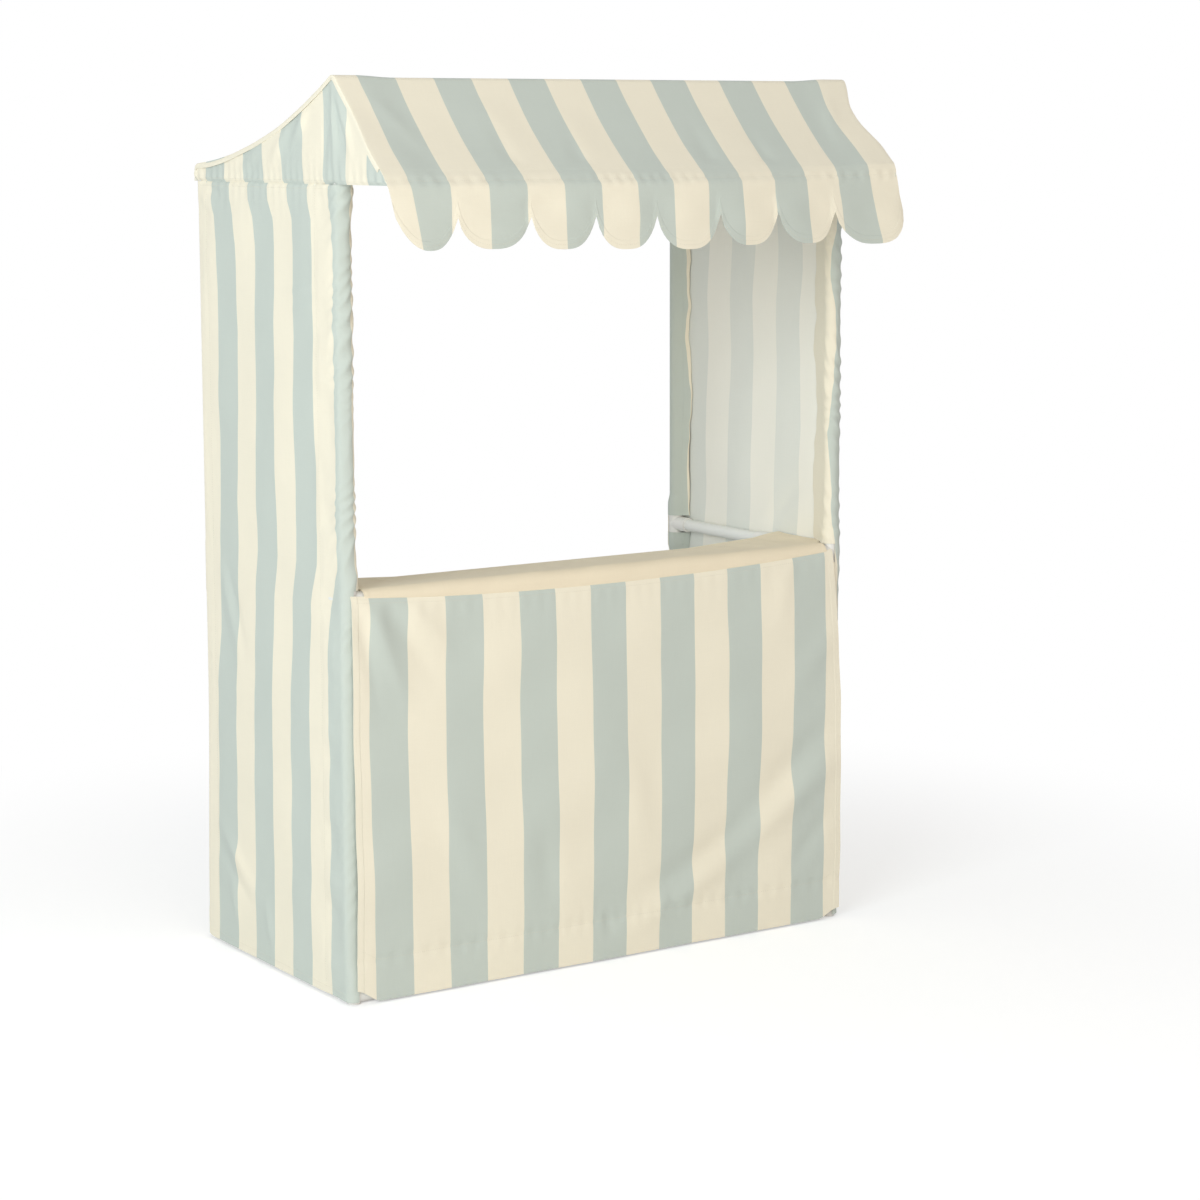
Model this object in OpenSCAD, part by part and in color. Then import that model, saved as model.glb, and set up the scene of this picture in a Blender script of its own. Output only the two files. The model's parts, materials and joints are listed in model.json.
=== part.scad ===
// Child's market stall: a frame of plastic tubes pushed into moulded connectors,
// dressed in a striped cloth cover with a counter, a pitched roof and a scalloped valance.
// X runs across the stall, -Y is the serving side, and the stall stands on Z = 0.

/* [Frame] */
// Distance between the centres of the left and right posts
post_span_x = 838; // [500:1:1400]
// Distance between the centres of the front and back posts
post_span_y = 410; // [320:1:800]
// Height of the eave rails' centres above the floor
eave_z = 1150; // [850:1:1800]
// Rise from the eave rails to the ridge bar, centre to centre
ridge_rise = 120; // [85:1:300]
// Reach of the awning bar in front of the front posts, centre to centre
awning_reach = 118; // [85:1:240]

/* [Counter] */
// Height of the counter rails' centres above the floor
counter_z = 570; // [300:1:900]
// Distance from the front posts back to the shelf bar under the counter's back edge
counter_depth = 150; // [85:1:300]
// How far the shelf bar sits below the counter's side rails
shelf_drop = 14; // [0:1:30]
// Gap left between each end of the counter's nose and the post sleeve beside it
counter_end_gap = 8; // [1:0.5:20]

/* [Tubes and connectors] */
// Outer diameter of the tubes
tube_d = 19; // [12:0.5:21]
// Wall thickness of the tubes
tube_wall = 1.5; // [0.8:0.1:3]
// Radial play of a tube in its socket
socket_play = 0.15; // [0.05:0.05:0.4]
// Wall thickness of the sockets
socket_wall = 1.95; // [1:0.05:3]
// Length of a socket's bore
socket_depth = 23; // [12:1:28]
// How far a connector's round hub stands proud of its sockets
hub_bulge = 0.4; // [0.2:0.1:1]
// Diameter of the flat pad under each foot
foot_pad_d = 20; // [12:1:22]

/* [Cloth] */
// Thickness of the cloth
cloth_t = 1.2; // [0.8:0.1:2.5]
// Gap between the connectors' hubs and the cloth around them
cloth_play = 0.4; // [0.3:0.1:1.5]
// Height of the cloth's bottom hem above the floor
hem_z = 4; // [2:1:30]
// Gap between a post's sleeve and the front panel that hangs before it
panel_play = 0.2; // [0.1:0.1:1]
// How far the front panel's side edges pass the posts' centres
panel_overlap = 3; // [0:1:8]
// Width of the slanted cut at each bottom corner of the front panel
corner_cut_w = 38; // [10:1:60]
// Height of the slanted cut at each bottom corner of the front panel
corner_cut_h = 14; // [5:1:40]
// Gap between the counter cloth's side edges and the side walls
side_play = 1; // [0.5:0.5:4]

/* [Roof cloth] */
// Angle by which the front slope dips below its chord at each end
front_dip = 12; // [1:1:16]
// Angle by which the back slope dips below its chord at each end
back_dip = 12; // [1:1:14]
// Number of scallops on the valance
scallops = 8; // [3:1:14]
// Drop from the awning bar's centre to the lowest point of the scallops
valance_drop = 100; // [60:1:180]
// Height of the notches between scallops above the scallops' lowest points
scallop_h = 44; // [15:1:50]

/* [Hidden] */
$fn = 96;
slope_steps = 12;
arc_steps = 6;
over = 1;

tube_r = tube_d / 2;
bore_r = tube_r + socket_play;
socket_r = bore_r + socket_wall;
hub_r = socket_r + hub_bulge;
sleeve_in = hub_r + cloth_play;
sleeve_out = sleeve_in + cloth_t;
nose_in = sleeve_out + panel_play;
nose_out = nose_in + cloth_t;

total_y = awning_reach + post_span_y + 2 * sleeve_out;
post_x = post_span_x / 2;
half_w = post_x + sleeve_out;
awning_y = sleeve_out - total_y / 2;
front_y = awning_y + awning_reach;
back_y = front_y + post_span_y;
shelf_y = front_y + counter_depth;
foot_z = hub_r;
ridge_z = eave_z + ridge_rise;
seam_z = eave_z - sleeve_in;
window_h = 2 * (hub_r + over);

// Corners of the frame on the left side, where tubes meet
front_foot = [-post_x, front_y, foot_z];
back_foot = [-post_x, back_y, foot_z];
front_counter = [-post_x, front_y, counter_z];
back_counter = [-post_x, back_y, counter_z];
shelf_tee = [-post_x, shelf_y, counter_z];
shelf_end = [-post_x, shelf_y, counter_z - shelf_drop];
front_eave = [-post_x, front_y, eave_z];
back_eave = [-post_x, back_y, eave_z];
ridge_end = [-post_x, front_y, ridge_z];
awning_end = [-post_x, awning_y, eave_z];

INWARD = [1, 0, 0];
BACKWARD = [0, 1, 0];
FORWARD = [0, -1, 0];
UP = [0, 0, 1];
DOWN = [0, 0, -1];

// ---- Placing helpers ----

// The frame is drawn on the left, and mirrored for the right
module left() children();
module right() mirror([1, 0, 0]) children();
module both() {
    left() children();
    right() children();
}

// Turns +Z to one of the frame's own directions
module aim(direction) {
    turn = direction == INWARD ? [0, 90, 0]
        : direction == BACKWARD ? [-90, 0, 0]
        : direction == FORWARD ? [90, 0, 0]
        : direction == DOWN ? [180, 0, 0]
        : [0, 0, 0];
    rotate(turn) children();
}

// Stands an outline drawn in Y and Z upright, and gives it a length along X
module along_x(start, length)
    translate([start, 0, 0]) rotate([90, 0, 90]) linear_extrude(height = length) children();

// Stands an outline drawn in X and Z upright, and gives it a length along Y
module along_y(start, length)
    translate([0, start + length, 0]) rotate([90, 0, 0]) linear_extrude(height = length) children();

// ---- Tubes and connectors ----

// A tube between two corners of the frame, which butts on the hub at each end
module tube(from, direction, span) {
    length = span - 2 * hub_r;
    color("whitesmoke")
        translate(from) aim(direction) translate([0, 0, hub_r])
            difference() {
                cylinder(r = tube_r, h = length);
                translate([0, 0, -over]) cylinder(r = tube_r - tube_wall, h = length + 2 * over);
            }
}

// A moulded connector: a round hub with a blind socket in each given direction
module connector(at, directions) {
    color("white")
        translate(at)
            difference() {
                union() {
                    aim(directions[0]) sphere(r = hub_r);
                    for (d = directions)
                        aim(d) cylinder(r = socket_r, h = hub_r + socket_depth);
                }
                for (d = directions)
                    aim(d) translate([0, 0, hub_r]) cylinder(r = bore_r, h = socket_depth + over);
            }
}

// A shelf tee rides on the side rail, and holds the shelf bar in a lower socket
module shelf_tee_connector() {
    connector(shelf_tee, [FORWARD, BACKWARD]);
    connector(shelf_end, [INWARD]);
    color("white")
        translate(shelf_end) cylinder(r = hub_r - hub_bulge, h = shelf_drop);
}

// A foot is a connector with a flat pad down to the floor
module foot(at, directions) {
    connector(at, directions);
    color("white")
        translate([at[0], at[1], 0]) cylinder(d = foot_pad_d, h = foot_z);
}

module front_post_lower() tube(front_foot, UP, counter_z - foot_z);
module front_post_upper() tube(front_counter, UP, eave_z - counter_z);
module front_post_top() tube(front_eave, UP, ridge_rise);
module back_post_lower() tube(back_foot, UP, counter_z - foot_z);
module back_post_upper() tube(back_counter, UP, eave_z - counter_z);
module bottom_rail() tube(front_foot, BACKWARD, post_span_y);
module counter_rail_front() tube(front_counter, BACKWARD, counter_depth);
module counter_rail_back() tube(shelf_tee, BACKWARD, post_span_y - counter_depth);
module eave_rail() tube(front_eave, BACKWARD, post_span_y);
module awning_arm() tube(awning_end, BACKWARD, awning_reach);
module front_bottom_bar() tube(front_foot, INWARD, post_span_x);
module back_bottom_bar() tube(back_foot, INWARD, post_span_x);
module counter_nose_bar() tube(front_counter, INWARD, post_span_x);
module counter_shelf_bar() tube(shelf_end, INWARD, post_span_x);
module back_eave_bar() tube(back_eave, INWARD, post_span_x);
module ridge_bar() tube(ridge_end, INWARD, post_span_x);
module awning_bar() tube(awning_end, INWARD, post_span_x);

module front_feet() both() foot(front_foot, [UP, BACKWARD, INWARD]);
module back_feet() both() foot(back_foot, [UP, FORWARD, INWARD]);
module front_counter_crosses() both() connector(front_counter, [UP, DOWN, BACKWARD, INWARD]);
module back_counter_tees() both() connector(back_counter, [UP, DOWN, FORWARD]);
module shelf_tees() both() shelf_tee_connector();
module front_eave_crosses() both() connector(front_eave, [UP, DOWN, FORWARD, BACKWARD]);
module back_eave_corners() both() connector(back_eave, [DOWN, FORWARD, INWARD]);
module ridge_elbows() both() connector(ridge_end, [DOWN, INWARD]);
module awning_elbows() both() connector(awning_end, [BACKWARD, INWARD]);

// ---- Cloth ----

function unit(angle) = [cos(angle), sin(angle)];
function arc_points(centre, r, a0, a1) =
    [for (i = [0 : arc_steps]) centre + r * unit(a0 + (a1 - a0) * i / arc_steps)];
function curve_points(p0, p1, p2) =
    [for (i = [1 : slope_steps - 1])
        let (t = i / slope_steps)
        (1 - t) * (1 - t) * p0 + 2 * t * (1 - t) * p1 + t * t * p2];
function reversed(points) = [for (i = [len(points) - 1 : -1 : 0]) points[i]];

// Outline, in Y and Z, of cloth that wraps one bar from angle a0, dips as it crosses to
// the next bar, and wraps that to angle a1, at distance r from both bars' centres
function drape(c0, a0, c1, a1, r, dip) =
    let (
        span = c1 - c0,
        normal = atan2(span[1], span[0]) + 90,
        p0 = c0 + r * unit(normal - dip),
        p2 = c1 + r * unit(normal + dip),
        p1 = (p0 + p2) / 2 - unit(normal) * norm(p2 - p0) / 2 * tan(dip)
    )
    concat(
        arc_points(c0, r, a0, normal - dip),
        curve_points(p0, p1, p2),
        arc_points(c1, r, normal + dip, a1)
    );

awning_c = [awning_y, eave_z];
ridge_c = [front_y, ridge_z];
eave_c = [back_y, eave_z];
function front_slope(r) = drape(awning_c, 180, ridge_c, 90, r, front_dip);
function back_slope(r) =
    concat(drape(ridge_c, 90, eave_c, 0, r, back_dip), [[back_y + r, seam_z]]);

// A strip of cloth between an outer and an inner outline
module strip(outer, inner) polygon(concat(outer, reversed(inner)));

// The part of a post's sleeve that a connector's sockets need clear, on the sides towards
// the other posts
module sleeve_window(y, z, towards, has_bar) {
    reach = sleeve_out + over;
    inner_face = -half_w + cloth_t;
    translate([inner_face, towards > 0 ? y : y - reach, z - window_h / 2])
        cube([-post_x + reach - inner_face, reach, window_h]);
    if (has_bar)
        translate([-post_x, y - reach, z - window_h / 2])
            cube([reach, 2 * reach, window_h]);
}

// A side wall, with the sleeves that hold it on the front and back posts
module wall() {
    color("honeydew")
        difference() {
            translate([0, 0, hem_z])
                linear_extrude(height = seam_z - hem_z) {
                    translate([-half_w, front_y]) square([cloth_t, post_span_y]);
                    for (y = [front_y, back_y])
                        translate([-post_x, y])
                            difference() {
                                circle(r = sleeve_out);
                                circle(r = sleeve_in);
                            }
                }
            sleeve_window(front_y, foot_z, 1, true);
            sleeve_window(front_y, counter_z, 1, true);
            sleeve_window(back_y, foot_z, -1, true);
            sleeve_window(back_y, counter_z, -1, false);
        }
}

// The three-sided piece between a side wall and the roof, which runs on to the awning bar
module gable() {
    color("honeydew")
        along_x(-half_w, cloth_t)
            polygon(concat(
                front_slope(sleeve_in),
                back_slope(sleeve_in),
                [[awning_y - sleeve_in, seam_z]]
            ));
}

module roof_front() {
    color("oldlace")
        along_x(-half_w, 2 * half_w) strip(front_slope(sleeve_out), front_slope(sleeve_in));
}

module roof_back() {
    color("oldlace")
        along_x(-half_w, 2 * half_w) strip(back_slope(sleeve_out), back_slope(sleeve_in));
}

// A straight band that ends in a row of round scallops
module valance() {
    lobe_w = half_w / scallops;
    lobe_r = (lobe_w * lobe_w + scallop_h * scallop_h) / (2 * scallop_h);
    low_z = eave_z - valance_drop;
    color("oldlace")
        along_y(awning_y - sleeve_out, cloth_t)
            intersection() {
                translate([-half_w, low_z]) square([2 * half_w, valance_drop]);
                union() {
                    translate([-half_w, low_z + scallop_h])
                        square([2 * half_w, valance_drop - scallop_h]);
                    for (i = [0 : scallops - 1])
                        translate([-half_w + lobe_w * (2 * i + 1), low_z + lobe_r])
                            circle(r = lobe_r);
                }
            }
}

// The counter: a nose over the front bar, a top that falls a little to the shelf bar and
// turns round it, and at each end a flat wing over the side rail, which a gusset joins to
// the top
module counter_cloth() {
    nose_x = post_x - sleeve_out - counter_end_gap;
    edge_x = half_w - cloth_t - side_play;
    wing_y = front_y + nose_out;
    wing_z = counter_z + sleeve_in;
    nose_c = [front_y, counter_z];
    shelf_c = [shelf_y, counter_z - shelf_drop];
    // Height of the middle of the cloth in the falling top, at a given y
    function top_z(y) = counter_z + (nose_in + nose_out) / 2
        - shelf_drop * (y - front_y) / counter_depth;
    color("wheat") {
        along_x(-nose_x, 2 * nose_x)
            strip(
                drape(nose_c, 180, shelf_c, 0, nose_out, 0),
                drape(nose_c, 180, shelf_c, 0, nose_in, 0)
            );
        both() {
            translate([-edge_x, wing_y, wing_z])
                cube([edge_x - nose_x + cloth_t, shelf_y - wing_y, cloth_t]);
            along_x(-nose_x, cloth_t)
                polygon([
                    [wing_y, top_z(wing_y)], [shelf_y, top_z(shelf_y)],
                    [shelf_y, wing_z + cloth_t], [wing_y, wing_z + cloth_t]
                ]);
        }
    }
}

// The striped panel below the counter, cut away over the corner connectors
module front_panel() {
    side_x = post_x + panel_overlap;
    color("oldlace")
        along_y(front_y - nose_out, cloth_t)
            polygon([
                [-side_x, counter_z], [side_x, counter_z],
                [side_x, hem_z + corner_cut_h], [side_x - corner_cut_w, hem_z],
                [corner_cut_w - side_x, hem_z], [-side_x, hem_z + corner_cut_h]
            ]);
}

left() front_post_lower();  // left_front_post_lower
right() front_post_lower();  // right_front_post_lower
left() front_post_upper();  // left_front_post_upper
right() front_post_upper();  // right_front_post_upper
left() front_post_top();  // left_front_post_top
right() front_post_top();  // right_front_post_top
left() back_post_lower();  // left_back_post_lower
right() back_post_lower();  // right_back_post_lower
left() back_post_upper();  // left_back_post_upper
right() back_post_upper();  // right_back_post_upper
left() bottom_rail();  // left_bottom_rail
right() bottom_rail();  // right_bottom_rail
left() counter_rail_front();  // left_counter_rail_front
right() counter_rail_front();  // right_counter_rail_front
left() counter_rail_back();  // left_counter_rail_back
right() counter_rail_back();  // right_counter_rail_back
left() eave_rail();  // left_eave_rail
right() eave_rail();  // right_eave_rail
left() awning_arm();  // left_awning_arm
right() awning_arm();  // right_awning_arm
front_bottom_bar();
back_bottom_bar();
counter_nose_bar();
counter_shelf_bar();
back_eave_bar();
ridge_bar();
awning_bar();
front_feet();
back_feet();
front_counter_crosses();
back_counter_tees();
shelf_tees();
front_eave_crosses();
back_eave_corners();
ridge_elbows();
awning_elbows();
left() wall();  // left_wall
right() wall();  // right_wall
left() gable();  // left_gable
right() gable();  // right_gable
roof_back();
roof_front();
valance();
counter_cloth();
front_panel();
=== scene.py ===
# %% [markdown]
# # A child's market stall, in cloth over plastic tubes
# The stall is a frame of white plastic tubes pushed into moulded connectors, dressed in a
# sewn cover of striped canvas. The tubes and connectors come ready made from the packed
# model and only need a finish. The cloth comes from it too, but as plain sheets, so this
# lesson sews a real cover over the frame: walls with sleeves round the posts, a pitched
# roof with a scalloped valance, a counter and a front panel.
#
# Lengths are in metres. X runs across the stall, -Y is the serving side, Z is up.

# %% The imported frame
import json
import math

import bpy
import numpy as np
from mathutils import Matrix, Vector


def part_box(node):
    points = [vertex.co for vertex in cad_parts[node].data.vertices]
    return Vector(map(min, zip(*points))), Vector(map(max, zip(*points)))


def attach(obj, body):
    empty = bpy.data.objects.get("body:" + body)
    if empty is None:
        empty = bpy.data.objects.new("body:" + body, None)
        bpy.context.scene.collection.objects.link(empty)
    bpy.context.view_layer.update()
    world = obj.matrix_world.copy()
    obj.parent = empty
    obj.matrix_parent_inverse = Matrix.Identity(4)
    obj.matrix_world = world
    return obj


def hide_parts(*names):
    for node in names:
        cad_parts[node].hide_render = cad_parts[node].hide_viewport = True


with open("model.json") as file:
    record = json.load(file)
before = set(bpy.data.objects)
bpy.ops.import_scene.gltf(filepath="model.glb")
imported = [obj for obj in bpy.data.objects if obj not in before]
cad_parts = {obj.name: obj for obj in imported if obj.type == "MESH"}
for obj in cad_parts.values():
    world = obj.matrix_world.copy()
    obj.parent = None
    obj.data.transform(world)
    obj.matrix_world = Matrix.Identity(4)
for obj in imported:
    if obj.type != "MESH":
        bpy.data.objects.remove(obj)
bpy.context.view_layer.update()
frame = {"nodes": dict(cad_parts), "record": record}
print("nodes in the frame:", len(frame["nodes"]))

# %% [markdown]
# ## Measures
# Every place below is read off the frame, so the cover still fits if the frame is made to
# another size. A bar is known by its centre in the (y, z) plane, because nearly all of the
# cloth is a profile in that plane, drawn out along X.

# %% Measures from the frame
MM = 0.001


def low(node):
    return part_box(node)[0]


def high(node):
    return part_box(node)[1]


def bar_centre(node):
    """Centre of a bar that runs along X, as (y, z)."""
    middle = (low(node) + high(node)) / 2
    return np.array([middle.y, middle.z])


POST_X = -(low("left_front_post_lower").x + high("left_front_post_lower").x) / 2
FRONT_Y = (low("left_front_post_lower").y + high("left_front_post_lower").y) / 2
BACK_Y = (low("left_back_post_lower").y + high("left_back_post_lower").y) / 2
HALF_W = high("right_wall").x
SLEEVE_R = HALF_W - POST_X
TUBE_R = (high("ridge_bar").z - low("ridge_bar").z) / 2
HEM_Z = low("left_wall").z
SEAM_Z = high("left_wall").z
EAVE_Z = bar_centre("back_eave_bar")[1]

RIDGE = bar_centre("ridge_bar")
AWNING = bar_centre("awning_bar")
BACK_EAVE = bar_centre("back_eave_bar")
NOSE = bar_centre("counter_nose_bar")
SHELF = bar_centre("counter_shelf_bar")
BOTTOM = bar_centre("front_bottom_bar")
NOSE_R = NOSE[0] - low("counter_cloth").y
SHELF_DROP = NOSE[1] - SHELF[1]
SOCKET_DEPTH = 23 * MM
SOCKET_END_X = high("counter_nose_bar").x - SOCKET_DEPTH
VALANCE_LOW = low("valance").z
PANEL_X = high("front_panel").x

CLOTH_T = 0.8 * MM
STRIPE = 60 * MM
print(f"posts at x {POST_X:.3f}, counter at z {NOSE[1]:.3f}, ridge at z {RIDGE[1]:.3f}")

# %% [markdown]
# ## Camera
# The camera stands to the left in front of the stall, a little lower than its ridge, and
# looks slightly down through a long lens. The long lens keeps the uprights nearly
# parallel, and a small shift does the rest of the framing without tilting the camera any
# further.

# %% Camera
CAMERA_AT = (-2.3488, -3.6773, 1.2060)
CAMERA_YAW, CAMERA_PITCH, CAMERA_ROLL = -33.59, 7.66, -0.163

camera = bpy.data.objects.new("camera", bpy.data.cameras.new("camera"))
bpy.context.scene.collection.objects.link(camera)
bpy.context.scene.camera = camera
camera.data.sensor_width = 36
camera.data.lens = 88.66
camera.data.shift_y = -0.0583
camera.matrix_world = (
    Matrix.Translation(CAMERA_AT)
    @ Matrix.Rotation(math.radians(CAMERA_YAW), 4, "Z")
    @ Matrix.Rotation(math.radians(90 - CAMERA_PITCH), 4, "X")
    @ Matrix.Rotation(math.radians(CAMERA_ROLL), 4, "Z")
)
print("camera lens", round(camera.data.lens, 1), "mm")

# %% [markdown]
# ## Shader sums as plain Python
# A shader is a graph of nodes, and wiring sums by hand hides what they say. The class
# `Value` wraps one socket so that `0.97 + 0.04 * slub` makes its Math nodes by itself.
# Each operator has its reflected form too, so a plain number may stand on either side.

# %% Sums on sockets


class Value:
    """A shader socket that stands in a Python expression as a number does."""

    def __init__(self, finish, made, output=0):
        self.finish = finish
        self.made = made
        self.socket = made.outputs[output] if len(made.outputs) else None

    def output(self, name):
        return Value(self.finish, self.made, name)

    def combined(self, operation, first, second):
        return self.finish.node("ShaderNodeMath", {"operation": operation}, {0: first, 1: second})

    def __add__(self, other):
        return self.combined("ADD", self, other)

    def __radd__(self, other):
        return self.combined("ADD", other, self)

    def __sub__(self, other):
        return self.combined("SUBTRACT", self, other)

    def __rsub__(self, other):
        return self.combined("SUBTRACT", other, self)

    def __mul__(self, other):
        return self.combined("MULTIPLY", self, other)

    def __rmul__(self, other):
        return self.combined("MULTIPLY", other, self)


print("sums on sockets: + - *, and the same with a number first")

# %% [markdown]
# `Finish` holds one material. Its `node` makes any other node from its type, its settings,
# which are set first, and the values or links of its sockets. The other methods are the
# few nodes that every finish here needs, each under a maker's word.

# %% One material


class Finish:
    """One material and the nodes that make it."""

    def __init__(self, name):
        self.material = bpy.data.materials.new(name)
        self.material.use_nodes = True
        self.tree = self.material.node_tree
        self.tree.nodes.clear()

    def node(self, kind, settings=None, inputs=None):
        made = self.tree.nodes.new(kind)
        for name, value in (settings or {}).items():
            setattr(made, name, value)
        for name, value in (inputs or {}).items():
            if isinstance(value, Value):
                self.tree.links.new(value.socket, made.inputs[name])
            else:
                made.inputs[name].default_value = value
        return Value(self, made)

    def place(self, *parts):
        """A point made of three numbers or values, for a texture to read."""
        return self.node("ShaderNodeCombineXYZ", inputs=dict(enumerate(parts)))

    def noise(self, point, detail=2.0):
        return self.node(
            "ShaderNodeTexNoise", inputs={"Vector": point, "Scale": 1.0, "Detail": detail}
        )

    def step(self, value, start, end):
        """0 on start's side, 1 on end's side, and a soft step between them."""
        return self.node(
            "ShaderNodeMapRange",
            {"interpolation_type": "SMOOTHSTEP"},
            {"Value": value, "From Min": start, "From Max": end},
        )

    def mix(self, share, first, second):
        """All of the first colour at 0 and all of the second at 1."""
        mixed = self.node("ShaderNodeMix", {"data_type": "RGBA"}, {0: share, 6: first, 7: second})
        return mixed.output(2)

    def scaled(self, tint, amount):
        tint = tint if isinstance(tint, Value) else tint[:3]
        return self.node("ShaderNodeVectorMath", {"operation": "SCALE"}, {0: tint, "Scale": amount})

    def surface(self, height, depth, sockets):
        """Closes the material: a surface with the given sockets, embossed by height."""
        bump = self.node("ShaderNodeBump", inputs={"Distance": depth, "Height": height})
        shader = self.node("ShaderNodeBsdfPrincipled", inputs={**sockets, "Normal": bump})
        self.node("ShaderNodeOutputMaterial", inputs={"Surface": shader})
        return self.material


def colour(red, green, blue):
    """A screen colour, 0 to 255, as the linear colour that shaders use."""
    shares = [part / 255 for part in (red, green, blue)]
    linear = [s / 12.92 if s <= 0.04045 else ((s + 0.055) / 1.055) ** 2.4 for s in shares]
    return (*linear, 1.0)


print("middle grey as a linear colour:", round(colour(128, 128, 128)[0], 3))

# %% [markdown]
# ## Canvas
# The cover is plain-woven cotton canvas. Close up it shows three things: the crossing of
# its threads, slubs, which are threads that run a little thick for a few centimetres, and
# a slow unevenness of tone. The stripes are printed, so they sit on the face only, and
# the back shows a pale ghost of them.
#
# An image texture would do for one flat sheet, but would stretch over sleeves and bars.
# Here each sheet carries a UV map called `cloth`, in metres along its own threads, and
# the weave and the print are worked out from it, so they follow every fold. A second map,
# `edge`, holds the distance to the nearest hem, which the turned hem's bump needs.

# %% Canvas
THREAD_PITCH = 0.9 * MM
HEM_WIDTH = 12 * MM


def canvas(name, cream, grey=None):
    """Plain canvas, or with grey stripes printed as wide as the cream between them."""
    finish = Finish(name)
    cloth = finish.node("ShaderNodeUVMap", {"uv_map": "cloth"})
    edge = finish.node("ShaderNodeUVMap", {"uv_map": "edge"})
    threads = finish.node("ShaderNodeSeparateXYZ", inputs={0: cloth})
    across, along = threads.output("X"), threads.output("Y")
    to_hem = finish.node("ShaderNodeSeparateXYZ", inputs={0: edge}).output("X")

    warp = finish.noise(finish.place(across * 1300, along * 26, 0.0))
    weft = finish.noise(finish.place(across * 26, along * 1300, 7.0))
    tone = finish.noise(finish.place(across * 9, along * 9, 3.0), detail=4.0)
    turns = 2 * math.pi / THREAD_PITCH
    over = finish.node("ShaderNodeMath", {"operation": "SINE"}, {0: across * turns})
    under = finish.node("ShaderNodeMath", {"operation": "SINE"}, {0: along * turns})

    base = cream
    if grey:
        wavering = across + (tone - 0.5) * 0.0008
        from_middle = finish.node(
            "ShaderNodeMath", {"operation": "PINGPONG"}, {0: wavering, 1: STRIPE}
        )
        inside = finish.step(from_middle, STRIPE / 2 + 0.4 * MM, STRIPE / 2 - 0.4 * MM)
        base = finish.mix(inside, cream, grey)
    shade = 0.945 + 0.045 * warp + 0.035 * weft + 0.03 * tone
    turned_hem = finish.step(to_hem, HEM_WIDTH + 0.6 * MM, HEM_WIDTH - 0.6 * MM)
    height = 0.18 * over * under + 0.35 * warp + 0.3 * weft + 1.6 * turned_hem
    return finish.surface(
        height,
        0.22 * MM,
        {
            "Base Color": finish.scaled(base, shade),
            "Roughness": 0.82 + 0.1 * warp,
            "Sheen Weight": 0.12,
            "Sheen Roughness": 0.5,
            "Specular IOR Level": 0.2,
        },
    )


print("weave:", round(10 * MM / THREAD_PITCH), "threads to the centimetre")

# %% [markdown]
# The stall's cover is cream with stripes of a pale grey green. The counter is a plain,
# warmer cream. Cloth printed on one side only shows its print faintly on the other, so
# each finish comes as a pair, a face and a back. The striped cover's back is painted
# paler than the cloth. This is painted light that stands in for the light shining through
# the thin canvas from outside.

# %% Colours of the cloth
CREAM = colour(242, 235, 215)
GREY = colour(200, 208, 200)
# painted light: the striped back is paler than the cloth, for light shining through the canvas; its
# faint print is real
CREAM_BACK_PAINTED_LIGHT = colour(246, 244, 234)
GREY_BACK_PAINTED_LIGHT = colour(231, 233, 226)
PLAIN_CREAM = colour(241, 228, 202)
PLAIN_CREAM_BACK = colour(242, 232, 212)

STRIPED = (canvas("striped_canvas", CREAM, GREY), canvas("striped_back_painted_light", CREAM_BACK_PAINTED_LIGHT, GREY_BACK_PAINTED_LIGHT))
PLAIN = (canvas("cream_canvas", PLAIN_CREAM), canvas("cream_back", PLAIN_CREAM_BACK))
print("canvas finishes:", [material.name for material in STRIPED + PLAIN])

# %% [markdown]
# ## Sewing thread
# The seams are sewn in cream cotton thread, a shade darker than the cloth. Its plies are
# twisted, which a slanting wave texture shows well enough at the size of a stitch: it
# raises the plies as a bump, and as painted shade it darkens the thread's colour in the
# grooves between them.

# %% Sewing thread


def sewing_thread():
    finish = Finish("sewing_thread")
    point = finish.node("ShaderNodeTexCoord").output("Object")
    twist_with_painted_shade = finish.node(
        "ShaderNodeTexWave",
        {"bands_direction": "DIAGONAL"},
        {"Vector": point, "Scale": 900.0, "Distortion": 1.0},
    )
    # painted shade: the wave's low bands, the grooves between the plies, get the darker colour
    base = finish.mix(twist_with_painted_shade, colour(206, 200, 182), colour(232, 226, 208))
    return finish.surface(twist_with_painted_shade, 0.05 * MM, {"Base Color": base, "Roughness": 0.75})


THREAD = sewing_thread()
print("thread finish:", THREAD.name)

# %% [markdown]
# ## White plastic
# The tubes are extruded and the connectors are moulded, in nearly the same white. The
# connectors have the finer, even grain of a spark-eroded mould. Both are smooth enough
# for a soft gloss. One finish serves for both, with its own scale and depth of grain, and
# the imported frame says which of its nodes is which.

# %% Plastic finishes


def white_plastic(name, tint, roughness, scale, depth):
    """Satin plastic with a grain of the given scale and depth."""
    finish = Finish(name)
    point = finish.node("ShaderNodeTexCoord").output("Object")
    grain = finish.noise(
        finish.node("ShaderNodeVectorMath", {"operation": "MULTIPLY"}, {0: point, 1: scale}),
        detail=3.0,
    )
    return finish.surface(
        grain,
        depth,
        {
            "Base Color": finish.scaled(tint, 0.97 + 0.04 * grain),
            "Roughness": roughness + 0.08 * grain,
            "Specular IOR Level": 0.45,
        },
    )


TUBE = white_plastic("white_tube", colour(236, 237, 233), 0.32, (90, 90, 90), 0.08 * MM)
CONNECTOR = white_plastic("white_connector", colour(238, 237, 233), 0.38, (900,) * 3, 0.04 * MM)
for name, node in frame["nodes"].items():
    slot = next(p["material_slot"] for p in frame["record"]["subparts"] if p["node"] == name)
    if slot in ("white_tube", "white_connector"):
        node.data.materials.clear()
        node.data.materials.append(TUBE if slot == "white_tube" else CONNECTOR)
print("plastic finishes:", TUBE.name, CONNECTOR.name)

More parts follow.
